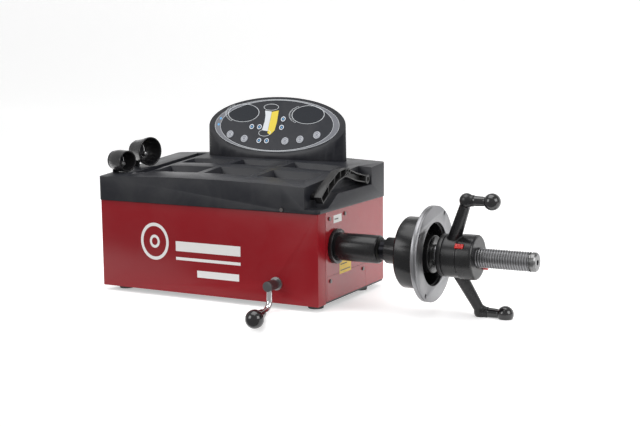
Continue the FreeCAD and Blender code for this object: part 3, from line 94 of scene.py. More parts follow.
studio_white = shader("studio_white", (0.9, 0.9, 0.9), 0.8, Emission_Color=(1, 1, 1, 1), Emission_Strength=0.42)
sheet = bmesh.new()
edge = [sheet.verts.new((-9, 4, 0)), sheet.verts.new((9, 4, 0))]
edge = [sheet.edges.new(edge)]
flat = bmesh.ops.extrude_edge_only(sheet, edges=edge)["geom"]
moved = [v for v in flat if isinstance(v, bmesh.types.BMVert)]
bmesh.ops.translate(sheet, verts=moved, vec=(0, -4.16, 0))
front_edge = [e for e in flat if isinstance(e, bmesh.types.BMEdge) and all(v in moved for v in e.verts)]
rolled = bmesh.ops.spin(sheet, geom=front_edge + moved, cent=(0, -0.16, -0.09), axis=(1, 0, 0),
                        dvec=(0, 0, 0), angle=math.pi / 2, steps=24)["geom_last"]
sweep = bmesh.ops.spin(sheet, geom=edge + list(edge[0].verts), cent=(0, 4, 1.5), axis=(1, 0, 0),
                       dvec=(0, 0, 0), angle=math.pi / 2, steps=24)["geom_last"]
rise = bmesh.ops.extrude_edge_only(sheet, edges=[e for e in sweep if isinstance(e, bmesh.types.BMEdge)])["geom"]
bmesh.ops.translate(sheet, verts=[v for v in rise if isinstance(v, bmesh.types.BMVert)], vec=(0, 0, 3))
last = [e for e in rolled if isinstance(e, bmesh.types.BMEdge)]
hang = bmesh.ops.extrude_edge_only(sheet, edges=last)["geom"]
bmesh.ops.translate(sheet, verts=[v for v in hang if isinstance(v, bmesh.types.BMVert)], vec=(0, 0, -3))
bench = made("bench_sheet", sheet, studio_white)
for face in bench.data.polygons:
    face.use_smooth = True

world = bpy.data.worlds.new("studio_world")
world.use_nodes = True
world.node_tree.nodes["Background"].inputs["Color"].default_value = (1, 1, 1, 1)
world.node_tree.nodes["Background"].inputs["Strength"].default_value = 0.42
bpy.context.scene.world = world
bpy.context.scene.view_settings.view_transform = "Standard"
for name, place, aim, size, watts in (
        ("top_box", (0.0, -0.3, 2.6), (0.05, 0.0, 0.15), 2.2, 42),
        ("front_box", (-1.6, -2.6, 1.5), (0.0, 0.0, 0.15), 1.6, 34),
        ("right_box", (2.6, -0.6, 1.3), (0.3, 0.0, 0.12), 1.4, 26)):
    lamp = bpy.data.lights.new(name, "AREA")
    lamp.shape = "SQUARE"
    lamp.size = size
    lamp.energy = watts
    light = bpy.data.objects.new(name, lamp)
    light.location = place
    light.rotation_euler = (Vector(aim) - Vector(place)).to_track_quat("-Z", "Y").to_euler()
    bpy.context.collection.objects.link(light)

# ---------------------------------------------------------------- painted cabinet
# The cabinet is folded from 1.5 mm sheet steel and powder coated glossy red. The coat has a
# faint orange peel and picks up fine dust and hand marks.


def effect(name, inputs, outputs):
    """An empty shader group with the named sockets, and its two end nodes."""
    group = bpy.data.node_groups.new(name, "ShaderNodeTree")
    for socket, kind, value in inputs:
        made_socket = group.interface.new_socket(name=socket, in_out="INPUT", socket_type=kind)
        if value is not None:
            made_socket.default_value = value
    for socket, kind in outputs:
        group.interface.new_socket(name=socket, in_out="OUTPUT", socket_type=kind)
    return group, group.nodes.new("NodeGroupInput"), group.nodes.new("NodeGroupOutput")


def add(tree, kind, settings=(), **inputs):
    """A node with its settings, and its inputs set to constants or linked to other sockets."""
    item = tree.nodes.new("ShaderNode" + kind)
    for setting, value in dict(settings).items():
        setattr(item, setting, value)
    for socket, value in inputs.items():
        socket = item.inputs[int(socket[1:])] if socket[1:].isdigit() else item.inputs[socket.replace("_", " ")]
        if isinstance(value, bpy.types.NodeSocket):
            tree.links.new(value, socket)
        else:
            socket.default_value = value
    return item


# Grain: fine bumps of one size, as a moulded texture, an orange peel or a cast skin
GRAIN, given, result = effect(
    "surface_grain",
    [("Size", "NodeSocketFloat", 0.001), ("Height", "NodeSocketFloat", 0.2),
     ("Sharpness", "NodeSocketFloat", 0.5)],
    [("Normal", "NodeSocketVector"), ("Value", "NodeSocketFloat")])
where = add(GRAIN, "TexCoord").outputs["Object"]
per_metre = add(GRAIN, "Math", {"operation": "DIVIDE"}, _0=1.0, _1=given.outputs["Size"]).outputs[0]
bumps = add(GRAIN, "TexNoise", Vector=where, Scale=per_metre, Detail=2.0, Roughness=given.outputs["Sharpness"])
depth = add(GRAIN, "Math", {"operation": "MULTIPLY"}, _0=bumps.outputs[0], _1=given.outputs["Size"]).outputs[0]
relief = add(GRAIN, "Bump", Strength=given.outputs["Height"], Distance=1.0, Height=depth)
GRAIN.links.new(relief.outputs[0], result.inputs["Normal"])
GRAIN.links.new(bumps.outputs[0], result.inputs["Value"])

# Use: smears, dust and rubbed patches that change a surface's gloss and tint unevenly
USE, given, result = effect(
    "signs_of_use",
    [("Gloss", "NodeSocketFloat", 0.3), ("Unevenness", "NodeSocketFloat", 0.1),
     ("Color", "NodeSocketColor", None), ("Dust", "NodeSocketFloat", 0.05)],
    [("Color", "NodeSocketColor"), ("Roughness", "NodeSocketFloat"), ("Mask", "NodeSocketFloat")])
where = add(USE, "TexCoord").outputs["Object"]
smears = add(USE, "TexNoise", Vector=where, Scale=14.0, Detail=5.0, Roughness=0.62, Distortion=0.8).outputs[0]
specks = add(USE, "TexNoise", Vector=where, Scale=620.0, Detail=2.0, Roughness=0.7).outputs[0]
patch = add(USE, "MapRange", _0=smears, _1=0.35, _2=0.7).outputs[0]
speck = add(USE, "MapRange", _0=specks, _1=0.66, _2=0.78).outputs[0]
both = add(USE, "Math", {"operation": "MAXIMUM"}, _0=patch, _1=speck).outputs[0]
extra = add(USE, "Math", {"operation": "MULTIPLY"}, _0=both, _1=given.outputs["Unevenness"]).outputs[0]
rough = add(USE, "Math", {"operation": "ADD"}, _0=extra, _1=given.outputs["Gloss"]).outputs[0]
dusty = add(USE, "Math", {"operation": "MULTIPLY"}, _0=both, _1=given.outputs["Dust"]).outputs[0]
tint = add(USE, "Mix", {"data_type": "RGBA"}, _0=dusty, _6=given.outputs["Color"],
           _7=(0.55, 0.53, 0.5, 1)).outputs[2]
USE.links.new(tint, result.inputs["Color"])
USE.links.new(rough, result.inputs["Roughness"])
USE.links.new(both, result.inputs["Mask"])


def finish(name, color, gloss, grain=0.0006, height=0.1, uneven=0.1, dust=0.02, sharp=0.5, metallic=0.0,
           **sockets):
    """A used surface: its shader with signs of use on colour and gloss, and a grain."""
    material = shader(name, color, gloss, metallic, **sockets)
    tree = material.node_tree
    bsdf = tree.nodes["Principled BSDF"]
    used = add(tree, "Group", {"node_tree": USE}, Color=(*color, 1), Gloss=gloss, Unevenness=uneven, Dust=dust)
    rough = add(tree, "Group", {"node_tree": GRAIN}, Size=grain, Height=height, Sharpness=sharp)
    tree.links.new(used.outputs["Color"], bsdf.inputs["Base Color"])
    tree.links.new(used.outputs["Roughness"], bsdf.inputs["Roughness"])
    tree.links.new(rough.outputs["Normal"], bsdf.inputs["Normal"])
    return material


def dress(material, *nodes):
    """Gives CAD nodes that keep their own shape this material."""
    for node in nodes:
        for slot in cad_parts[node].material_slots:
            slot.material = material


def softened(node, width, body, material, angle=28, segments=2, name=None):
    """A copy of a CAD piece with its sharp edges broken, which stands for that piece."""
    bm = bmesh.new()
    bm.from_mesh(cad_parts[node].data)
    bmesh.ops.remove_doubles(bm, verts=bm.verts, dist=0.000004)
    bmesh.ops.dissolve_degenerate(bm, edges=bm.edges, dist=0.000004)
    bmesh.ops.dissolve_limit(bm, angle_limit=math.radians(0.6), verts=bm.verts, edges=bm.edges)
    piece = made(name or node + "_finished", bm)
    for face in piece.data.polygons:
        face.use_smooth = True
    broken = piece.modifiers.new("broken_edges", "BEVEL")
    broken.width = width
    broken.segments = segments
    broken.limit_method = "ANGLE"
    broken.angle_limit = math.radians(angle)
    broken.miter_outer = "MITER_ARC"
    broken.harden_normals = True
    piece.data.materials.clear()
    piece.data.materials.append(material)
    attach(piece, body)
    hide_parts(node)
    return piece


RED = (0.27, 0.004, 0.010)
red_paint = finish("red_powder_coat", RED, 0.3, grain=0.0011, height=0.05, uneven=0.1, dust=0.01,
                   Specular_IOR_Level=0.3)
side_paint = finish("red_powder_coat_side", RED, 0.18, grain=0.0012, height=0.045, uneven=0.08, dust=0.01,
                    Coat_Weight=0.35, Coat_Roughness=0.06)
softened("front_cover", 0.0012, "machine", red_paint, segments=3)
dress(side_paint, "right_side_panel", "left_side_panel", "access_plate")
dress(red_paint, "rear_panel")
pan_black = finish("pan_black", (0.02, 0.02, 0.022), 0.5, grain=0.0005, height=0.12, uneven=0.15, dust=0.08)
dress(pan_black, "base_plate")

# The front carries two plain white printed rings with three bars beside them, and the right
# side two small plain stickers.


def flat_shape(outline_points, material, name, thick=0.00012):
    """A thin printed or stuck-on shape: an outline of corners, filled and given a film's thickness."""
    bm = bmesh.new()
    bm.faces.new([bm.verts.new(point) for point in outline_points])
    piece = made(name, bm, material)
    film = piece.modifiers.new("film", "SOLIDIFY")
    film.thickness = thick
    film.offset = 0
    return piece


def printed_ring(bm, across, tall, width, place, steps=72, start=0.0, sweep=math.tau):
    """A printed oval ring or arc: a short edge spun round, then squashed to its oval."""
    begin = bmesh.ops.create_vert(bm, co=(across, 0, 0))["vert"]
    begin += bmesh.ops.create_vert(bm, co=(across - width, 0, 0))["vert"]
    bmesh.ops.rotate(bm, verts=begin, cent=(0, 0, 0), matrix=Matrix.Rotation(start, 3, "Z"))
    edge = bm.edges.new(begin)
    whole = abs(sweep - math.tau) < 1e-4
    bmesh.ops.spin(bm, geom=[edge] + begin, cent=(0, 0, 0), axis=(0, 0, 1), dvec=(0, 0, 0), angle=sweep,
                   steps=steps, use_merge=whole)
    fresh = {v for f in bm.faces if not f.tag for v in f.verts}
    ring = [f for f in bm.faces if not f.tag]
    bmesh.ops.scale(bm, verts=list(fresh), vec=(1, tall / across, 1))
    bmesh.ops.transform(bm, verts=list(fresh), matrix=place)
    for face in ring:
        face.tag = True


front_low, front_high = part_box("front_cover")
print_white = finish("printed_white", (0.82, 0.81, 0.8), 0.3, grain=0.0008, height=0.05, dust=0.03)
front_face = Matrix.Translation((0, front_low.y - 0.0001, 0)) @ Matrix.Rotation(math.pi / 2, 4, "X")
mark = bmesh.new()
printed_ring(mark, 0.034, 0.038, 0.006, front_face @ Matrix.Translation((-0.121, 0.112, 0)))
printed_ring(mark, 0.012, 0.0135, 0.005, front_face @ Matrix.Translation((-0.121, 0.112, 0)))
front_mark = made("front_printed_mark", mark, print_white)
film = front_mark.modifiers.new("film", "SOLIDIFY")
film.thickness = 0.00012
film.offset = 0
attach(front_mark, "machine")
for index, (left, right, low, high) in enumerate(((-0.070, 0.082, 0.096, 0.116), (-0.070, 0.082, 0.078, 0.084),
                                                  (-0.02, 0.078, 0.046, 0.060))):
    y = front_low.y
    bar = flat_shape([(left, y, low), (right, y, low), (right, y, high), (left, y, high)], print_white,
                     "front_printed_bar_%d" % (index + 1))
    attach(bar, "machine")

side_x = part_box("right_side_panel")[1].x
label_white = finish("label_white", (0.72, 0.72, 0.7), 0.42, grain=0.0005, height=0.05, dust=0.08)
label_yellow = finish("label_yellow", (0.75, 0.5, 0.03), 0.36, grain=0.0005, height=0.05, dust=0.06)
label_ink = finish("label_ink", (0.05, 0.05, 0.05), 0.4, grain=0.0005, height=0.05)
for name, material, low_y, high_y, low_z, high_z, out in (
        ("side_label_white", label_white, -0.080, -0.046, 0.164, 0.179, 0.00002),
        ("side_label_line", label_ink, -0.076, -0.060, 0.170, 0.1725, 0.0001),
        ("side_label_yellow", label_yellow, -0.056, -0.006, 0.060, 0.086, 0.00002),
        ("side_label_band", label_ink, -0.052, -0.010, 0.0655, 0.0675, 0.0001),
        ("side_label_band_upper", label_ink, -0.052, -0.024, 0.0775, 0.0795, 0.0001)):
    label = flat_shape([(side_x + out, low_y, low_z), (side_x + out, high_y, low_z),
                        (side_x + out, high_y, high_z), (side_x + out, low_y, high_z)], material, name)
    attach(label, "machine")

# ---------------------------------------------------------------- screws, feet, rear fittings
# Pan head screws are black zinc plated steel, the feet are moulded rubber, and the inlet and the
# rocker switch are glossy mouldings snapped into the rear sheet.
zinc = finish("screw_zinc", (0.16, 0.15, 0.15), 0.34, grain=0.0004, height=0.12, metallic=1.0)
rubber = finish("foot_rubber", (0.018, 0.018, 0.018), 0.62, grain=0.0007, height=0.2, dust=0.12)
black_moulding = finish("black_moulding", (0.014, 0.014, 0.015), 0.3, grain=0.0005, height=0.08, dust=0.05)
rocker_red = finish("rocker_red", (0.5, 0.012, 0.01), 0.2, grain=0.0006, height=0.04)
dress(zinc, "panel_screws")
dress(rubber, "rubber_feet", "dust_seal", "brake_shoe")
dress(black_moulding, "power_inlet", "switch_housing", "encoder_sensor", "gauge_guides")
dress(rocker_red, "power_rocker")

# ---------------------------------------------------------------- moulded tray
# The tray is vacuum formed from dark slate plastic with a fine leather-like grain. Its edges
# are rounded, and faint dust and rubbed patches lie unevenly over it.
slate = finish("slate_plastic", (0.011, 0.012, 0.017), 0.34, grain=0.0010, height=0.12, uneven=0.1, dust=0.03,
               sharp=0.6, Specular_IOR_Level=0.34)
softened("tray_cover", 0.0024, "machine", slate, segments=3)
arm_plastic = finish("arm_plastic", (0.007, 0.007, 0.008), 0.28, grain=0.0008, height=0.1, dust=0.04,
                     Specular_IOR_Level=0.35)
softened("gauge_arm", 0.0006, "gauge_swing_arm", arm_plastic)
rod_steel = finish("drawn_steel", (0.55, 0.55, 0.55), 0.24, grain=0.0005, height=0.05, metallic=1.0)
dress(rod_steel, "gauge_rod", "cone_pegs", "lever_shaft", "bearing_inner_rings", "bearing_outer_rings",
      "bearing_balls", "jaw_near", "jaw_far", "lever_bush")

# ---------------------------------------------------------------- centring cones
# Both cones are turned from steel and painted gloss black, and hang open end forward.
cone_paint = finish("cone_black", (0.007, 0.007, 0.009), 0.24, grain=0.0009, height=0.06, dust=0.05,
                    Coat_Weight=0.4, Coat_Roughness=0.12)
softened("small_cone", 0.0007, "small_cone_body", cone_paint)
softened("large_cone", 0.0007, "large_cone_body", cone_paint)

# ---------------------------------------------------------------- display console
# The console is an oval column of the same plastic with a sloping oval face, on which a
# printed overlay film carries two dark windows, round keys and paired arrow keys.
softened("console_housing", 0.0022, "machine", slate, segments=3, angle=35)
film_low, film_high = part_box("display_panel")
SLOPE = math.radians(64.8)
FACE = Matrix.Translation((film_low + film_high) / 2) @ Matrix.Rotation(SLOPE, 4, "X") @ Matrix.Translation(
    (0, 0, 0.0008))
overlay = finish("overlay_film", (0.013, 0.015, 0.022), 0.34, grain=0.0004, height=0.04, dust=0.03,
                 Specular_IOR_Level=0.35)
dress(overlay, "display_panel")
window = shader("window_lens", (0.03, 0.035, 0.045), 0.12, Transmission_Weight=0.35, Coat_Weight=0.3)
tree = window.node_tree
lens_grain = add(tree, "Group", {"node_tree": GRAIN}, Size=0.0008, Height=0.02, Sharpness=0.4)
tree.links.new(lens_grain.outputs["Normal"], tree.nodes["Principled BSDF"].inputs["Normal"])
dress(window, "display_windows")
digit_black = finish("digit_black", (0.012, 0.012, 0.013), 0.5, grain=0.0004, height=0.1)
dress(digit_black, "digit_displays")
board_green = finish("board_green", (0.01, 0.11, 0.04), 0.35, grain=0.0007, height=0.1)
dress(board_green, "display_board", "main_board")

RISE = 0.00006


def on_face(u, v, out=RISE):
    return FACE @ Matrix.Translation((u / 1000, v / 1000, out))


def print_piece(name, bm, material, thick=0.0001, body="machine"):
    """Printed ink on the overlay film."""
    piece = made(name, bm, material)
    ink = piece.modifiers.new("ink", "SOLIDIFY")
    ink.thickness = thick
    ink.offset = 0
    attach(piece, body)
    return piece


ink_white = finish("ink_white", (0.7, 0.73, 0.76), 0.36, grain=0.0004, height=0.04)
ink_grey = finish("ink_grey", (0.17, 0.175, 0.2), 0.32, grain=0.0004, height=0.04)
ink_yellow = finish("ink_yellow", (0.8, 0.62, 0.05), 0.36, grain=0.0004, height=0.04)
ink_blue = finish("ink_blue", (0.12, 0.4, 0.75), 0.32, grain=0.0004, height=0.04)



def oval_band(bm, outer, inner, place, segments=144):
    """A printed crescent or band between two ovals, each given as (half width, half height)."""
    loops = []
    for across, tall in (outer, inner):
        circle = bmesh.ops.create_circle(bm, segments=segments, radius=1.0,
                                         matrix=place @ Matrix.Diagonal((across, tall, 1, 1)))["verts"]
        loops += [edge for edge in bm.edges if edge.verts[0] in circle and edge.verts[1] in circle]
    bmesh.ops.bridge_loops(bm, edges=loops)


band = bmesh.new()
oval_band(band, (0.1515, 0.0585), (0.1385, 0.0579), on_face(0, 0))
print_piece("overlay_rim_band", band, ink_grey)
lines = bmesh.new()
oval_band(lines, (0.1524, 0.0594), (0.1517, 0.0587), on_face(0, 0, 0.00012))
oval_band(lines, (0.1385, 0.0579), (0.1378, 0.0571), on_face(0, 0, 0.00012))
for u in (-86, 73):
    printed_ring(lines, 0.0392, 0.0208, 0.0013, on_face(u, 26, 0.00016), steps=96)
    printed_ring(lines, 0.0460, 0.0232, 0.0008, on_face(u, 26, 0.0001), steps=64,
                 start=math.radians(125), sweep=math.radians(110))
for number in range(13):
    for u in (-86, 73):
        printed_ring(lines, 0.0445, 0.0223, 0.0022, on_face(u, 26, 0.0001), steps=1,
                     start=math.radians(128 + 8.6 * number), sweep=math.radians(1.6))
print_piece("overlay_lines", lines, ink_white)


def printed_patch(bm, corners, out=0.0001):
    """A printed patch on the overlay, from its corners in mm across and up the face."""
    bm.faces.new([bm.verts.new(on_face(u, v, out) @ Vector()) for u, v in corners])


# The rim graphic: a wheel rim's curved section, its inner half white and its outer half yellow,
# between the dark ovals of its two edges.
rim, marks = bmesh.new(), bmesh.new()
printed_patch(rim, ((-31, -12), (-16.5, -14), (-16.5, 31), (-33.5, 33), (-30, 22), (-29, 8)))
printed_patch(marks, ((-16, -18), (-9, -22), (0, -12), (1.6, 8), (0, 34), (-16, 30)))
oval_band(rim, (0.0185, 0.0075), (0.0175, 0.0067), on_face(-20, 41, 0.00012), segments=48)
oval_band(rim, (0.0150, 0.0078), (0.0141, 0.0070), on_face(-23, -18, 0.00012), segments=48)
print_piece("overlay_rim_section", rim, ink_white)
print_piece("overlay_weight_marks", marks, ink_yellow)

# Unlit seven segment digits stand behind each window
segment_grey = finish("segment_grey", (0.07, 0.075, 0.08), 0.5, grain=0.0004, height=0.05)
digits = bmesh.new()
for u in (-86, 73):
    for place in range(3):
        centre = u + (place - 1) * 17
        bars = [(-5, low, 10, 1.8) for low in (8.6, -0.9, -10.4)]
        bars += [(left, low, 1.8, 8.4) for low in (0.8, -9.2) for left in (-6.4, 4.6)]
        for left, low, wide, tall in bars:
            corners = ((left, low), (left + wide, low), (left + wide, low + tall), (left, low + tall))
            printed_patch(digits, [(centre + a, 26 + b) for a, b in corners], -0.00295)
print_piece("digit_segments", digits, segment_grey)
lamps = bmesh.new()
for u, v in ((-141, 12), (-143, -2)):
    printed_ring(lamps, 0.0028, 0.0028, 0.0027, on_face(u, v, 0.0001), steps=20)
print_piece("overlay_lamps", lamps, ink_blue)

# Round keys are light grey domed caps; each carries a small generic mark.
key_grey = finish("key_grey", (0.26, 0.27, 0.31), 0.34, grain=0.0005, height=0.05)
arrow_light = finish("arrow_light", (0.72, 0.77, 0.86), 0.3, grain=0.0005, height=0.05)
for node in ("key_start", "key_stop", "key_mode", "key_fine", "key_split"):
    softened(node, 0.0005, node + "_body", key_grey)
    low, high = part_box(node)
    middle = FACE.inverted() @ ((low + high) / 2)
    dots = bmesh.new()
    top = 0.0014 + 0.0001
    printed_ring(dots, 0.0074, 0.0074, 0.0007, FACE @ Matrix.Translation((middle.x, middle.y, top)), steps=40)
    printed_ring(dots, 0.0050, 0.0034, 0.0009, FACE @ Matrix.Translation((middle.x, middle.y, top)), steps=24)
    print_piece(node + "_mark", dots, ink_white, body=node + "_body")
for node in ("arrow_distance", "arrow_diameter", "arrow_width"):
    softened(node, 0.0003, node + "_body", overlay)
    low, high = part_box(node)
    middle = FACE.inverted() @ ((low + high) / 2)
    upright = node == "arrow_diameter"
    rings, wedges = bmesh.new(), bmesh.new()
    for side in (-1, 1):
        shift = Vector((0, 0.0095 * side, 0)) if upright else Vector((0.0095 * side, 0, 0))
        place = FACE @ Matrix.Translation((middle.x + shift.x, middle.y + shift.y, 0.001))
        printed_ring(rings, 0.0056, 0.0056, 0.0017, place, steps=32)
        heading = (math.pi / 2 if upright else 0) + (math.pi if side < 0 else 0)
        bmesh.ops.create_circle(wedges, cap_ends=True, segments=3, radius=0.0030,
                                matrix=place @ Matrix.Rotation(heading - math.pi / 2, 4, "Z"))
    print_piece(node + "_rings", rings, arrow_light, body=node + "_body")
    print_piece(node + "_tips", wedges, ink_blue, body=node + "_body")

# ---------------------------------------------------------------- spindle tube and drum
# The tube, the wheel hub and its drum are turned steel painted satin black. Faint turning
# lines show through the paint as rings about the spindle.
hub_low, hub_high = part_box("wheel_flange_hub")
SPINDLE = ((hub_low.y + hub_high.y) / 2, (hub_low.z + hub_high.z) / 2)

# Turning marks: fine rings about the spindle axis, as the lathe tool leaves them
TURNED, given, result = effect("turning_marks", [("Pitch", "NodeSocketFloat", 0.0003),
                                                 ("Height", "NodeSocketFloat", 0.2)],
                               [("Normal", "NodeSocketVector"), ("Value", "NodeSocketFloat")])
where = add(TURNED, "TexCoord").outputs["Object"]
split = add(TURNED, "SeparateXYZ", _0=where)
from_y = add(TURNED, "Math", {"operation": "SUBTRACT"}, _0=split.outputs[1], _1=SPINDLE[0]).outputs[0]
from_z = add(TURNED, "Math", {"operation": "SUBTRACT"}, _0=split.outputs[2], _1=SPINDLE[1]).outputs[0]
across = add(TURNED, "CombineXYZ", _0=from_y, _1=from_z).outputs[0]
radius = add(TURNED, "VectorMath", {"operation": "LENGTH"}, _0=across).outputs["Value"]
along = add(TURNED, "Math", {"operation": "ADD"}, _0=radius, _1=split.outputs[0]).outputs[0]
lines_per = add(TURNED, "Math", {"operation": "DIVIDE"}, _0=along, _1=given.outputs["Pitch"]).outputs[0]
rings = add(TURNED, "TexNoise", {"noise_dimensions": "1D"}, W=lines_per, Scale=1.0, Detail=3.0, Roughness=0.7)
lift = add(TURNED, "Math", {"operation": "MULTIPLY"}, _0=rings.outputs[0], _1=given.outputs["Pitch"]).outputs[0]
relief = add(TURNED, "Bump", Strength=given.outputs["Height"], Distance=1.0, Height=lift)
TURNED.links.new(relief.outputs[0], result.inputs["Normal"])
TURNED.links.new(rings.outputs[0], result.inputs["Value"])


def lathe_finish(name, color, gloss, pitch=0.0004, height=0.1, metallic=0.0, uneven=0.08, dust=0.01, **sockets):
    """A turned surface: signs of use on colour and gloss, and turning marks in place of grain."""
    material = finish(name, color, gloss, uneven=uneven, dust=dust, metallic=metallic, **sockets)
    tree = material.node_tree
    bsdf = tree.nodes["Principled BSDF"]
    marks = add(tree, "Group", {"node_tree": TURNED}, Pitch=pitch, Height=height)
    tree.links.new(marks.outputs["Normal"], bsdf.inputs["Normal"])
    return material


tube_black = lathe_finish("tube_black", (0.006, 0.006, 0.007), 0.22, pitch=0.0012, height=0.05,
                          Specular_IOR_Level=0.4)
face_steel = lathe_finish("turned_steel", (0.27, 0.27, 0.28), 0.3, pitch=0.00045, height=0.16, metallic=1.0,
                          uneven=0.12)
bright = lathe_finish("bright_steel", (0.5, 0.5, 0.5), 0.24, pitch=0.0004, height=0.06, metallic=1.0)
softened("spindle_tube", 0.0006, "machine", tube_black)
softened("tube_ring", 0.0008, "machine", tube_black)
softened("wheel_flange_hub", 0.0008, "spindle", tube_black)
softened("flange_disc", 0.0005, "spindle", face_steel, segments=2)
dress(bright, "brake_disc", "encoder_disc")
iron = finish("frame_iron", (0.05, 0.05, 0.052), 0.55, grain=0.0014, height=0.3, dust=0.1)
dress(iron, "suspension_frame")
dress(finish("sensor_brass", (0.5, 0.36, 0.12), 0.3, metallic=1.0), "vibration_sensors")
dress(finish("core_laminations", (0.2, 0.18, 0.16), 0.5, grain=0.0006, height=0.2, metallic=0.6), "transformer")

# ---------------------------------------------------------------- threaded shaft
# The shaft is one steel bar, turned, then cut with a right-hand thread of 5 mm pitch. The
# flanks are bright and the roots are painted darker as painted shade; the bar is also darker behind the drum.


def lathe(name, profile, material, body, node=None, steps=96):
    """A piece turned about the spindle: its half section, (along, radius) in mm, spun round."""
    bm = bmesh.new()
    corners = [bm.verts.new((x / 1000, SPINDLE[0], SPINDLE[1] + r / 1000)) for x, r in profile]
    edges = [bm.edges.new(pair) for pair in zip(corners, corners[1:])]
    bmesh.ops.spin(bm, geom=edges + corners, cent=(0, *SPINDLE), axis=(1, 0, 0), dvec=(0, 0, 0), angle=math.tau,
                   steps=steps, use_merge=True)
    bmesh.ops.remove_doubles(bm, verts=bm.verts, dist=0.000002)
    piece = made(name, bm, material)
    for face in piece.data.polygons:
        face.use_smooth = True
    broken = piece.modifiers.new("broken_edges", "BEVEL")
    broken.width = 0.0003
    broken.segments = 2
    broken.limit_method = "ANGLE"
    broken.angle_limit = math.radians(25)
    broken.harden_normals = True
    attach(piece, body)
    if node:
        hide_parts(node)
    return piece


PITCH = 5.0
TURNS = 36
FACETS = 48
CREST, ROOT, JOURNAL, NECK = 17.95, 16.3, 12.45, 20
shaft_start, shaft_end = (corner.x * 1000 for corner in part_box("spindle_shaft"))
thread_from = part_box("flange_disc")[1].x * 1000 + 4
thread_to = thread_from + PITCH * (TURNS + 1)
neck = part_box("wheel_flange_hub")[0].x * 1000
bar_steel = lathe_finish("bar_steel", (0.5, 0.5, 0.5), 0.24, pitch=0.0004, height=0.06, metallic=1.0)
tree = bar_steel.node_tree
split = add(tree, "SeparateXYZ", _0=add(tree, "TexCoord").outputs["Object"])
# The bar is coloured darker from just short of the neck inward, behind the drum.
past = add(tree, "Math", {"operation": "GREATER_THAN"}, _0=split.outputs[0], _1=neck / 1000 - 0.0005).outputs[0]
darker_behind_drum = add(tree, "Mix", {"data_type": "RGBA"}, _0=past, _6=(0.012, 0.012, 0.014, 1),
            _7=(0.2, 0.2, 0.2, 1)).outputs[2]
tree.links.new(darker_behind_drum, tree.nodes["Principled BSDF"].inputs["Base Color"])
lathe("threaded_shaft_bar",
      [(shaft_start, 0), (shaft_start, JOURNAL - 1), (shaft_start + 1, JOURNAL), (neck - 13, JOURNAL),
       (neck - 11.5, NECK), (neck, NECK), (neck, CREST), (thread_from, CREST), (thread_from + 1.2, ROOT),
       (thread_to - 1.2, ROOT), (thread_to, CREST), (shaft_end - 3, CREST), (shaft_end, 15), (shaft_end, 5),
       (shaft_end - 12, 5), (shaft_end - 15, 0)], bar_steel, "spindle", "spindle_shaft")
thread_steel = finish("thread_steel", (0.3, 0.29, 0.29), 0.3, grain=0.0004, height=0.15, metallic=1.0,
                      uneven=0.16)
tree = thread_steel.node_tree
where = add(tree, "TexCoord").outputs["Object"]
split = add(tree, "SeparateXYZ", _0=where)
from_y = add(tree, "Math", {"operation": "SUBTRACT"}, _0=split.outputs[1], _1=SPINDLE[0]).outputs[0]
from_z = add(tree, "Math", {"operation": "SUBTRACT"}, _0=split.outputs[2], _1=SPINDLE[1]).outputs[0]
across = add(tree, "CombineXYZ", _0=from_y, _1=from_z).outputs[0]
radius = add(tree, "VectorMath", {"operation": "LENGTH"}, _0=across).outputs["Value"]
# Painted shade: the thread roots are coloured darker than the flanks, by their radius.
root = add(tree, "MapRange", _0=radius, _1=0.0163, _2=0.0174).outputs[0]
painted_root_shade = add(tree, "Mix", {"data_type": "RGBA"}, _0=root, _6=(0.015, 0.014, 0.013, 1),
           _7=(0.26, 0.26, 0.27, 1)).outputs[2]
tree.links.new(painted_root_shade, tree.nodes["Principled BSDF"].inputs["Base Color"])
thread = bmesh.new()
section = [(0, 17.97), (0.45, 17.97), (2.2, ROOT), (2.8, ROOT), (PITCH - 0.45, 17.97), (PITCH, 17.97)]
points = [thread.verts.new(((thread_from + x) / 1000, SPINDLE[0], SPINDLE[1] + r / 1000)) for x, r in section]
runs = [thread.edges.new(pair) for pair in zip(points, points[1:])]
bmesh.ops.spin(thread, geom=runs + points, cent=(0, *SPINDLE), axis=(1, 0, 0),
               dvec=(PITCH / 1000 / FACETS, 0, 0), angle=math.tau * TURNS, steps=FACETS * TURNS)
bmesh.ops.remove_doubles(thread, verts=thread.verts, dist=0.000006)
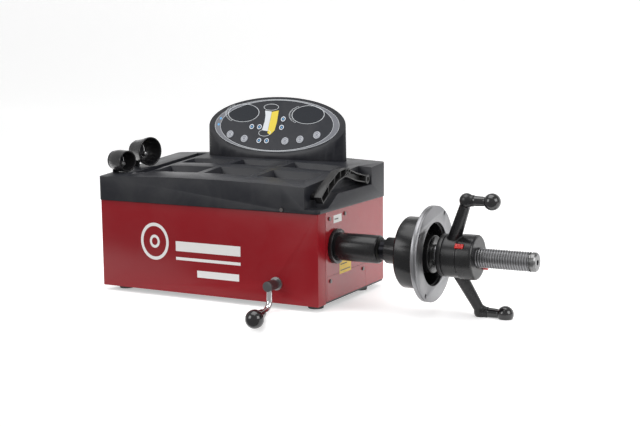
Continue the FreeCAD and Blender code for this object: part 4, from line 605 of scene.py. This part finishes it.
helix = made("threaded_shaft_helix", thread, thread_steel)
for face in helix.data.polygons:
    face.use_smooth = True
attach(helix, "spindle")

# ---------------------------------------------------------------- quick nut
# The nut is one casting: a sleeve with two arms that lean outwards to round bosses. It is
# fettled, turned on its faces and painted black, so every inside corner is softly rounded.
nut_black = finish("nut_black", (0.006, 0.006, 0.007), 0.25, grain=0.0012, height=0.08, uneven=0.1, dust=0.02,
                   Specular_IOR_Level=0.45)
casting = bmesh.new()
casting.from_mesh(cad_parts["nut_body"].data)
bmesh.ops.remove_doubles(casting, verts=casting.verts, dist=0.000004)
nut = made("nut_casting", casting, nut_black)
skin = nut.modifiers.new("skin", "REMESH")
skin.mode = "VOXEL"
skin.voxel_size = 0.0011
skin.use_smooth_shade = True
fettled = nut.modifiers.new("fettled", "SMOOTH")
fettled.factor = 0.5
fettled.iterations = 5
nut.data.materials.clear()
nut.data.materials.append(nut_black)
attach(nut, "nut")
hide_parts("nut_body")
softened("pressure_ring", 0.0006, "nut_ring", nut_black)
knob_black = finish("knob_black", (0.006, 0.006, 0.007), 0.14, grain=0.0012, height=0.03, uneven=0.1, dust=0.02,
                    Coat_Weight=0.5, Coat_Roughness=0.06)
softened("nut_grips", 0.0005, "nut", knob_black, angle=45)
tab_red = finish("tab_red", (0.55, 0.012, 0.008), 0.22, grain=0.0006, height=0.05)
softened("release_tab_near", 0.0005, "near_release", tab_red)
softened("release_tab_far", 0.0005, "far_release", tab_red)

# ---------------------------------------------------------------- lock lever
# A chromed rod, bent once, is pinned into a short turned hub and ends in a gloss ball.
chrome = finish("lever_chrome", (0.72, 0.72, 0.73), 0.07, grain=0.0006, height=0.02, metallic=1.0, uneven=0.1)
hub_steel = finish("lever_hub_steel", (0.16, 0.16, 0.165), 0.26, grain=0.0005, height=0.06, metallic=0.9)
softened("lever_hub", 0.0008, "lever", hub_steel, segments=3)
softened("lever_rod", 0.0002, "lever", chrome, angle=60)
softened("lever_grip", 0.0004, "lever", knob_black, angle=60)
